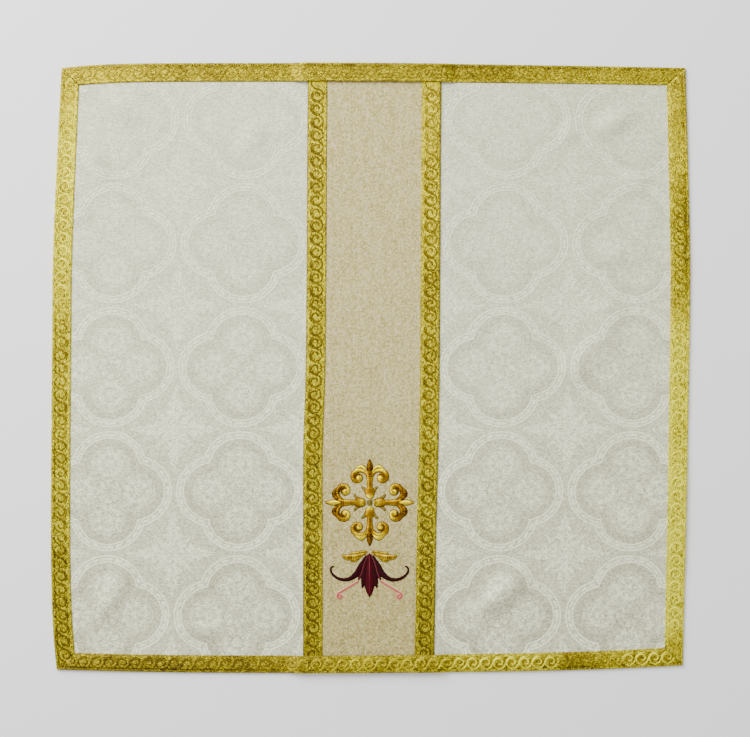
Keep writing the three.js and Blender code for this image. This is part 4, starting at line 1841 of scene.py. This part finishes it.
@dataclass
class Needlework:
    """Satin stitches gathered for one motif, placed on the orphrey.

    Attributes:
        centre: Where the motif stands.
        turn: How far it is turned, in degrees.
        mirrored: Whether left and right of it are swapped.
        stitch: Width of a stitch.
        ridge: How far every other stitch rises over the rest.
        foot: Least height of a strip.
        padded: Half width from which a strip has its full crown.
        spacing: Distance between the points of a spine.
        across: Points across a strip.
        shell: The mesh so far.
    """

    centre: Array
    turn: float = 0.0
    mirrored: bool = False
    stitch: float = 0.24
    ridge: float = 0.045
    foot: float = 0.12
    padded: float = 1.6
    spacing: float = 0.3
    across: int = 7
    shell: Shell = field(default_factory=Shell)

    def place(self, points: Array) -> Array:
        """Turns places of the motif into places of the plan.

        Args:
            points: Rows of x and y about the middle of the motif.

        Returns:
            The same rows in the plan.
        """
        x = -points[..., 0] if self.mirrored else points[..., 0]
        y = points[..., 1]
        c, s = math.cos(math.radians(self.turn)), math.sin(math.radians(self.turn))
        return np.stack([self.centre[0] + x * c - y * s, self.centre[1] + x * s + y * c], -1)

    def lay(self, rows: Rows, high: float, shade: ShadeRule, slot: int = 0,
            under: float = 0.0) -> None:
        """Lays a strip along a smooth curve through a table of x, y and half width."""
        self.satin(smooth_spine(np.array(rows), self.spacing), high, shade, slot, under)

    def edged(self, spine: Array, high: float, shade: ShadeRule, slot: int = 0, low: float = 0.08,
              edging: float = 0.5) -> None:
        """Lays a strip over a low, wider and darker one, which shows as its outline.

        Args:
            spine: Rows of x, y and half width.
            high: Height of its crown.
            shade: Its shade.
            slot: The material slot.
            low: Height of the outline.
            edging: How far the outline shows on each side.
        """
        self.satin(spine + np.array([0.0, 0.0, edging]), low, OUTLINE_SHADE)
        self.satin(spine, high, shade, slot, under=0.06)

    def satin(self, spine: Array, high: float, shade: ShadeRule, slot: int = 0,
              under: float = 0.0) -> None:
        """Lays a padded strip of satin stitches along a spine.

        Args:
            spine: Rows of x, y and half width.
            high: Height of its crown.
            shade: Its shade.
            slot: The material slot.
            under: How far its foot stands above the cloth.
        """
        spine = even_spine(spine, self.stitch)
        count = len(spine)
        run = np.gradient(spine[:, :2], axis=0)
        run /= np.maximum(np.linalg.norm(run, axis=1, keepdims=True), 1e-9)
        beside = np.stack([-run[:, 1], run[:, 0]], -1)
        across = np.sin(np.linspace(-1, 1, self.across) * math.pi / 2)
        wide = spine[:, None, 2] * across
        flat = spine[:, None, :2] + beside[:, None, :] * wide[..., None]
        narrow = np.clip(spine[:, 2] / self.padded, 0.3, 1.0)[:, None]
        crown = np.sqrt(np.clip(1 - across**2, 0, 1))
        ridges = self.ridge * np.where(np.arange(count) % 2, 1.0, -1.0)[:, None] * crown
        rise = self.foot + high * crown * narrow + ridges
        foot = spine[:, None, 2] * np.array([1.0, -1.0])
        low = spine[:, None, :2] + beside[:, None, :] * foot[..., None]
        place = self.place(np.concatenate([flat, low], 1))
        level = np.concatenate([rise, np.zeros((count, 2))], 1) + THREAD_UNDER + under
        height = PLAN.lift_at(place) + level
        points, faces = swept_patch(np.concatenate([place, height[..., None]], -1))
        share = np.linspace(0, 1, count)[:, None]
        tones = shade.at(share, np.concatenate([across, [1.0, -1.0]]))
        along = np.arange(count)[:, None] * self.stitch + np.zeros(self.across + 2)
        sideways = np.concatenate([wide, foot], 1)
        self.shell.add(points, faces, np.stack([along, sideways], -1), tones, slot)


@dataclass
class CrossArm:
    """One arm of the cross fleury: cup, stem and spear, with a volute, crest and sepal each side.

    The shape is that of the upper arm, and its tables are those of the right side.

    Attributes:
        name: Which way it points.
        turn: How far it is turned from there, in degrees.
        reach: How far its tip is from the middle of the cross.
        shades: The shades of its parts: tones of its threads, with painted sheen.
        finishes: The finish of the gold, and then that of the sepals.
        cup: Heights and half widths of the cup.
        stem: The same for the stem.
        spear: The same for the spear, without its tip.
        tip: Half width of the tip.
        volute: Middle of the volute.
        volute_halves: Shares of the way into the volute, with its half width there.
        hollow: A low satin strip of dark gold within the volute, as x, y and half width.
        eye: The bud in the middle of the volute, in the same way.
    """

    name: str
    turn: float
    reach: float
    shades: dict[str, ShadeRule]
    finishes: tuple[bpy.types.Material, bpy.types.Material]
    cup: Rows = ((3.5, 0.5), (4.3, 2.3), (5.8, 3.2), (8.2, 3.7), (10.8, 4.0), (12.4, 2.6), (13.4, 1.5))
    stem: Rows = ((9, 1.9), (16, 2.0), (20, 2.3), (26.5, 3.2))
    spear: Rows = ((22.0, 0.9), (26.5, 1.3), (31.3, 2.25))
    tip: float = 0.15
    volute: tuple[float, float] = (10.0, 21.3)
    volute_halves: Rows = ((0, 0.6), (0.2, 1.2), (0.38, 1.85), (0.6, 1.5), (0.8, 1.2), (1, 0.8))
    hollow: Rows = (
        (10.4, 16.6, 0.8), (10.4, 18.2, 3.6), (10.4, 20.6, 4.6), (10.4, 23.4, 3.8), (10.4, 25.4, 0.8))
    eye: Rows = (
        (9.4, 18.3, 0.4), (9.4, 19.4, 1.6), (9.4, 20.8, 2.2), (9.4, 22.2, 1.6), (9.4, 23.3, 0.4))

    def build(self) -> bpy.types.Object:
        """Builds and dresses the arm.

        Returns:
            The piece.
        """
        work = Needlework(CROSS_CENTRE, self.turn)
        for mirrored in (False, True):
            work.mirrored = mirrored
            self.scrolls(work)
        work.edged(self.upright(self.stem), 0.75, self.shades["stem"])
        work.edged(self.upright(self.cup), 0.95, self.shades["cup"])
        foot = arch_spine((-2.3, 6.2), (0.0, 2.2), (2.3, 6.2), 0.6, 0.3)
        work.satin(foot, 0.3, flat_shade(0.97), under=0.75)
        spear = self.upright([*self.spear, (self.reach, self.tip)])
        work.edged(spear, 1.05, self.shades["spear"])
        made = work.shell.mesh(f"cross_{self.name}", *self.finishes)
        return stand_in(made, f"cross_arm_{self.name}")

    def upright(self, rows: Rows) -> Array:
        """A spine straight up the arm's axis from rows of a height and a half width."""
        return smooth_spine(np.array([(0.0, y, half) for y, half in rows]), 0.3)

    def scrolls(self, work: Needlework) -> None:
        """Lays the volute, crest and sepal of one side.

        Args:
            work: The needlework of the arm.
        """
        sepal = arch_spine((3.3, 7.5), (3.9, 12.6), (7.4, 13.2), 0.8, 0.3)
        crest = arch_spine((2.2, 26), (7.2, 34.4), (12.8, 26.6), 1.7, 0.4)
        volute = spiral_spine(self.volute, 204, 424, 9.4, 2.3, self.volute_halves)
        work.lay(self.hollow, 0.05, flat_shade(0.16))
        work.edged(sepal, 0.45, self.shades["sepal"], slot=1)
        work.edged(crest, 0.6, self.shades["crest"])
        work.edged(volute, 0.78, self.shades["volute"])
        work.lay(self.eye, 0.85, self.shades["eye"], under=0.1)


@dataclass
class Boss:
    """The small dark square in the middle of the cross."""

    finish: bpy.types.Material
    half: float = 2.3

    def build(self) -> bpy.types.Object:
        """Builds and dresses the boss.

        Returns:
            The piece.
        """
        outline = ((-1, 0.8), (-0.6, 1), (0, 1), (0.6, 1), (1, 0.8))
        rows = [(0, along * self.half, wide * self.half) for along, wide in outline]
        work = Needlework(CROSS_CENTRE)
        work.satin(np.array(rows), 0.6, cross_shade(0.3, 0.1))
        made = work.shell.mesh("cross_middle", self.finish)
        return stand_in(made, "cross_boss")


@dataclass
class Flower:
    """The hanging flower. Each table gives the spine of a part's right half from the apex.

    Attributes:
        finishes: The finish of each kind of thread.
        centre: The middle petal of the bell.
        side: The petal beside it.
        wing: The outermost petal of the bell.
        vein: The vein between them.
        middle: The vein of the middle petal.
        hook: The dark outer petal.
        leaves: The three blades of a leaf.
        curl_centre: Middle of a stamen's curl.
        curl_halves: Shares of the way into the curl, with its half width there.
    """

    finishes: dict[str, bpy.types.Material]
    centre: Rows = ((0, -0.6, 0.5), (0, -12, 3.4), (0, -24, 4.6), (0, -32, 3.4), (0, -38.3, 0.3))
    side: Rows = ((0.6, -1.5, 0.5), (3.7, -14, 2.5), (5.1, -25, 2.3), (6.5, -30.6, 0.4))
    wing: Rows = ((1.2, -1.8, 0.6), (5.3, -12, 2.1), (7.8, -19, 1.9), (9.6, -23.8, 0.5))
    vein: Rows = ((0.9, -1.4, 0.3), (4.6, -9.5, 0.4), (6.6, -17, 0.4), (8.9, -22.6, 0.3))
    middle: Rows = ((0.0, -2.0, 0.3), (0.0, -18.0, 0.45), (0.0, -35.0, 0.25))
    hook: Rows = (
        (2.6, -2.6, 0.9), (7.0, -11.6, 2.7), (11.4, -18.6, 2.5), (18.0, -22.9, 1.7), (26.0, -22.6, 1.3),
        (32.0, -18.2, 1.0), (33.2, -14.2, 0.85), (31.6, -12.0, 0.7), (30.0, -12.2, 0.3))
    leaves: tuple[Rows, ...] = (
        ((8.6, -4.4, 0.5), (11.8, -6.2, 1.4), (14.6, -6.6, 1.3), (17.0, -5.8, 0.4)),
        ((2.6, -0.5, 0.4), (7.2, -2.2, 1.3), (11.0, -3.9, 2.2), (15.0, -4.3, 2.3), (19.4, -4.1, 1.9),
         (22.0, -3.5, 1.2), (22.9, -1.6, 0.3)),
        ((1.6, 0.7, 0.35), (6.4, 0.5, 0.7), (10.3, -0.6, 1.2), (13.7, -0.9, 1.1), (16.6, -1.9, 0.3)),
    )
    curl_centre: tuple[float, float] = (25.1, -37.4)
    curl_halves: Rows = ((0, 1.3), (1, 1.1))

    def build(self) -> list[bpy.types.Object]:
        """Builds and dresses every part.

        Returns:
            The pieces, the bell first.
        """
        made = [self.bell()]
        for side in Side:
            made += [self.petal(side), self.spray(side), self.stamen(side)]
        return made

    def work(self, side: Side = Side.RIGHT) -> Needlework:
        """Needlework about the apex, mirrored for the left."""
        return Needlework(FLOWER_APEX, mirrored=side is Side.LEFT)

    def bell(self) -> bpy.types.Object:
        """Sews the crimson bell of petals, with rose veins.

        Returns:
            The piece.
        """
        work = self.work()
        for mirrored in (False, True):
            work.mirrored = mirrored
            work.lay(self.wing, 0.5, cross_shade(0.45, 0.2))
            work.lay(self.side, 0.7, cross_shade(0.25, 0.05))
            work.lay(self.vein, 0.2, cross_shade(0.8, 0.2), slot=1, under=0.62)
        work.lay(self.centre, 0.95, cross_shade(0.55, 0.25))
        work.lay(self.middle, 0.22, cross_shade(0.9, 0.3), slot=1, under=0.92)
        made = work.shell.mesh("bell", self.finishes["crimson"], self.finishes["vein"])
        return stand_in(made, "flower_bell")

    def petal(self, side: Side) -> bpy.types.Object:
        """Sews a near-black outer petal that hooks upwards.

        Args:
            side: The side that it is on.

        Returns:
            The piece.
        """
        work = self.work(side)
        work.lay(self.hook, 0.7, cross_shade(0.5, 0.15))
        made = work.shell.mesh(f"hook_petal_{side.word}", self.finishes["dark_red"])
        return stand_in(made, f"flower_petal_{side.word}")

    def spray(self, side: Side) -> bpy.types.Object:
        """Sews a gold leaf with a dark outline.

        Args:
            side: The side that it is on.

        Returns:
            The piece.
        """
        work = self.work(side)
        for rows in self.leaves:
            spine = smooth_spine(np.array(rows), work.spacing)
            work.edged(spine, 0.6, cross_shade(0.3, 0.9), low=0.1, edging=0.45)
        made = work.shell.mesh(f"gold_leaf_{side.word}", self.finishes["leaf"])
        return stand_in(made, f"flower_leaf_{side.word}")

    def stamen(self, side: Side) -> bpy.types.Object:
        """Sews a rose stamen that curls at its end.

        Args:
            side: The side that it is on.

        Returns:
            The piece.
        """
        work = self.work(side)
        curl = spiral_spine(self.curl_centre, 62, 400, 2.9, 1.0, self.curl_halves)
        stalk = arch_spine((9.4, -24.6), (17.0, -29.2), tuple(curl[0, :2]), 1.15, 1.1)
        work.satin(np.vstack([stalk[:-1], curl]), 0.45, cross_shade(0.15, 1.1))
        made = work.shell.mesh(f"stamen_{side.word}", self.finishes["rose"])
        return stand_in(made, f"flower_stamen_{side.word}")


# Studio


@dataclass(frozen=True)
class Studio:
    """The table top, the soft light and the camera that looks straight down.

    Attributes:
        image_width: How much of the table the picture is wide.
        lens: Length of the lens.
        sensor: Width of the sensor.
        centre: What the camera looks at.
        key_place: Where the lamp is.
        key_power: Its power in watts.
        key_size: Its width.
        sky: Strength of the even light from all round.
        table_half: Half the width of the table top.
        table_drop: How far the table top is below the cloth.
    """

    image_width: float = 643.5
    lens: float = 85.0
    sensor: float = 36.0
    centre: tuple[float, float] = (3.9, 0.0)
    key_place: tuple[float, float, float] = (-1080, 1200, 1150)
    key_power: float = 82.0
    key_size: float = 1300
    sky: float = 0.78
    table_half: float = 4000.0
    table_drop: float = 0.1

    def build(self) -> None:
        """Builds all of it."""
        self.floor()
        self.lights()
        self.camera()

    def floor(self) -> None:
        """A plain pale table top."""
        half, level = self.table_half * MM, -self.table_drop * MM
        data = bpy.data.meshes.new("table_top")
        corners = [(x * half, y * half, level) for x, y in ((-1, -1), (1, -1), (1, 1), (-1, 1))]
        data.from_pydata(corners, [], [(0, 1, 2, 3)])
        made = bpy.data.objects.new("table_top", data)
        bpy.context.scene.collection.objects.link(made)
        graph = Graph("pale_table", roughness=0.9)
        graph.shader.inputs["Base Color"].default_value = (0.96, 0.96, 0.96, 1)
        graph.shader.inputs["Specular IOR Level"].default_value = 0.1
        data.materials.append(graph.material)

    def lights(self) -> None:
        """An even sky and one large soft lamp from the upper left."""
        world = bpy.data.worlds.new("studio")
        world.use_nodes = True
        background = world.node_tree.nodes["Background"]
        background.inputs["Color"].default_value = (1, 1, 1, 1)
        background.inputs["Strength"].default_value = self.sky
        bpy.context.scene.world = world
        data = bpy.data.lights.new("key", "AREA")
        data.energy = self.key_power
        data.size = self.key_size * MM
        made = bpy.data.objects.new("key", data)
        made.location = [c * MM for c in self.key_place]
        made.rotation_euler = Vector([-c for c in self.key_place]).to_track_quat("-Z", "Y").to_euler()
        bpy.context.scene.collection.objects.link(made)

    def camera(self) -> None:
        """A long lens straight above, with the photograph's frame at the cloth."""
        data = bpy.data.cameras.new("camera")
        data.lens, data.sensor_width = self.lens, self.sensor
        made = bpy.data.objects.new("camera", data)
        height = self.image_width * self.lens / self.sensor
        x, y = self.centre[0] + SHIFT[0], self.centre[1] + SHIFT[1]
        made.location = (x * MM, y * MM, height * MM)
        bpy.context.scene.collection.objects.link(made)
        bpy.context.scene.camera = made


def braid_courses() -> list[tuple[BraidCourse, str]]:
    """Plans every length of braid.

    Returns:
        Each with the node that it stands for.
    """
    made: list[tuple[BraidCourse, str]] = []
    for edge in Edge:
        course = BorderCourse(f"border_{edge.value}", BORDER_SECTION, BORDER_WIDTH,
                              PLAN.edge_length(edge), edge=edge)
        made.append((course, f"border_braid_{edge.value}"))
    length = float(PLAN.edge_y(Edge.TOP, 0.0) - PLAN.edge_y(Edge.BOTTOM, 0.0))
    for side in Side:
        course = ColumnCourse(f"column_{side.word}", COLUMN_SECTION, COLUMN_BRAID_WIDTH, length,
                              side=side)
        made.append((course, f"column_braid_{side.word}"))
    return made


def braid_finishes() -> dict[str, bpy.types.Material]:
    """Builds the finishes of the braids.

    Returns:
        One for each kind of piece of a braid.
    """
    kinds = {
        "strip": Galloon("braid_ground", BRAID_STOPS, grain=0.85),
        "scroll": Galloon("braid_scroll", BRAID_STOPS, lean=0.02, grain=0.3, roughness=0.6),
        "loops": Galloon("braid_loops", BRAID_STOPS, lean=0.24, grain=0.8),
        "sewing": Galloon("sewing_thread", SEWING_STOPS, metallic=0.2, roughness=0.6),
    }
    return {kind: finish.material() for kind, finish in kinds.items()}


def flower_finishes() -> dict[str, bpy.types.Material]:
    """Builds the finishes of the flower.

    Returns:
        One for each kind of thread.
    """
    dull = {"mottle": 0.2, "gloss": 0.08, "roughness": 0.55}
    kinds = {
        "crimson": Thread("crimson_thread", CRIMSON_STOPS, **dull),
        "vein": Thread("vein_thread", VEIN_STOPS, mottle=0.3),
        "dark_red": Thread("dark_red_thread", DARK_RED_STOPS, **dull),
        "leaf": Thread("leaf_thread", LEAF_STOPS, mottle=0.6, metallic=0.6),
        "rose": Thread("rose_thread", ROSE_STOPS, mottle=0.2),
    }
    return {kind: finish.material() for kind, finish in kinds.items()}


def build_cross() -> list[bpy.types.Object]:
    """Builds the four arms of the cross and its boss.

    Returns:
        The pieces.
    """
    gold = Thread("gold_thread", GOLD_STOPS, mottle=0.42, metallic=0.95).material()
    olive = Thread("olive_thread", OLIVE_STOPS, metallic=0.2).material()
    upright, crosswise = (37.2, UPRIGHT_TONES_AND_SHEEN), (38.4, CROSSWISE_TONES_AND_SHEEN)
    arms = {"up": upright, "left": crosswise, "down": upright, "right": crosswise}
    made = [CrossArm(name, 90 * index, *kind, (gold, olive)).build()
            for index, (name, kind) in enumerate(arms.items())]
    return [*made, Boss(olive).build()]


def main() -> None:
    """Builds the veil and its studio, piece by piece."""
    logging.basicConfig(level=logging.INFO, format="%(name)s: %(message)s")
    Studio().build()
    made = [GroundCloth(Damask().material()).build(), Orphrey(GoldCloth().material()).build()]
    finishes, rows = braid_finishes(), RowTree()
    for seed, (course, node) in enumerate(braid_courses(), start=1):
        made += Braid(course, node, rows, finishes, seed).build()
    made += build_cross()
    made += Flower(flower_finishes()).build()
    for piece in made:
        LOG.info("%s: %d faces", piece.name, len(piece.data.polygons))


if __name__ == "__main__":
    main()
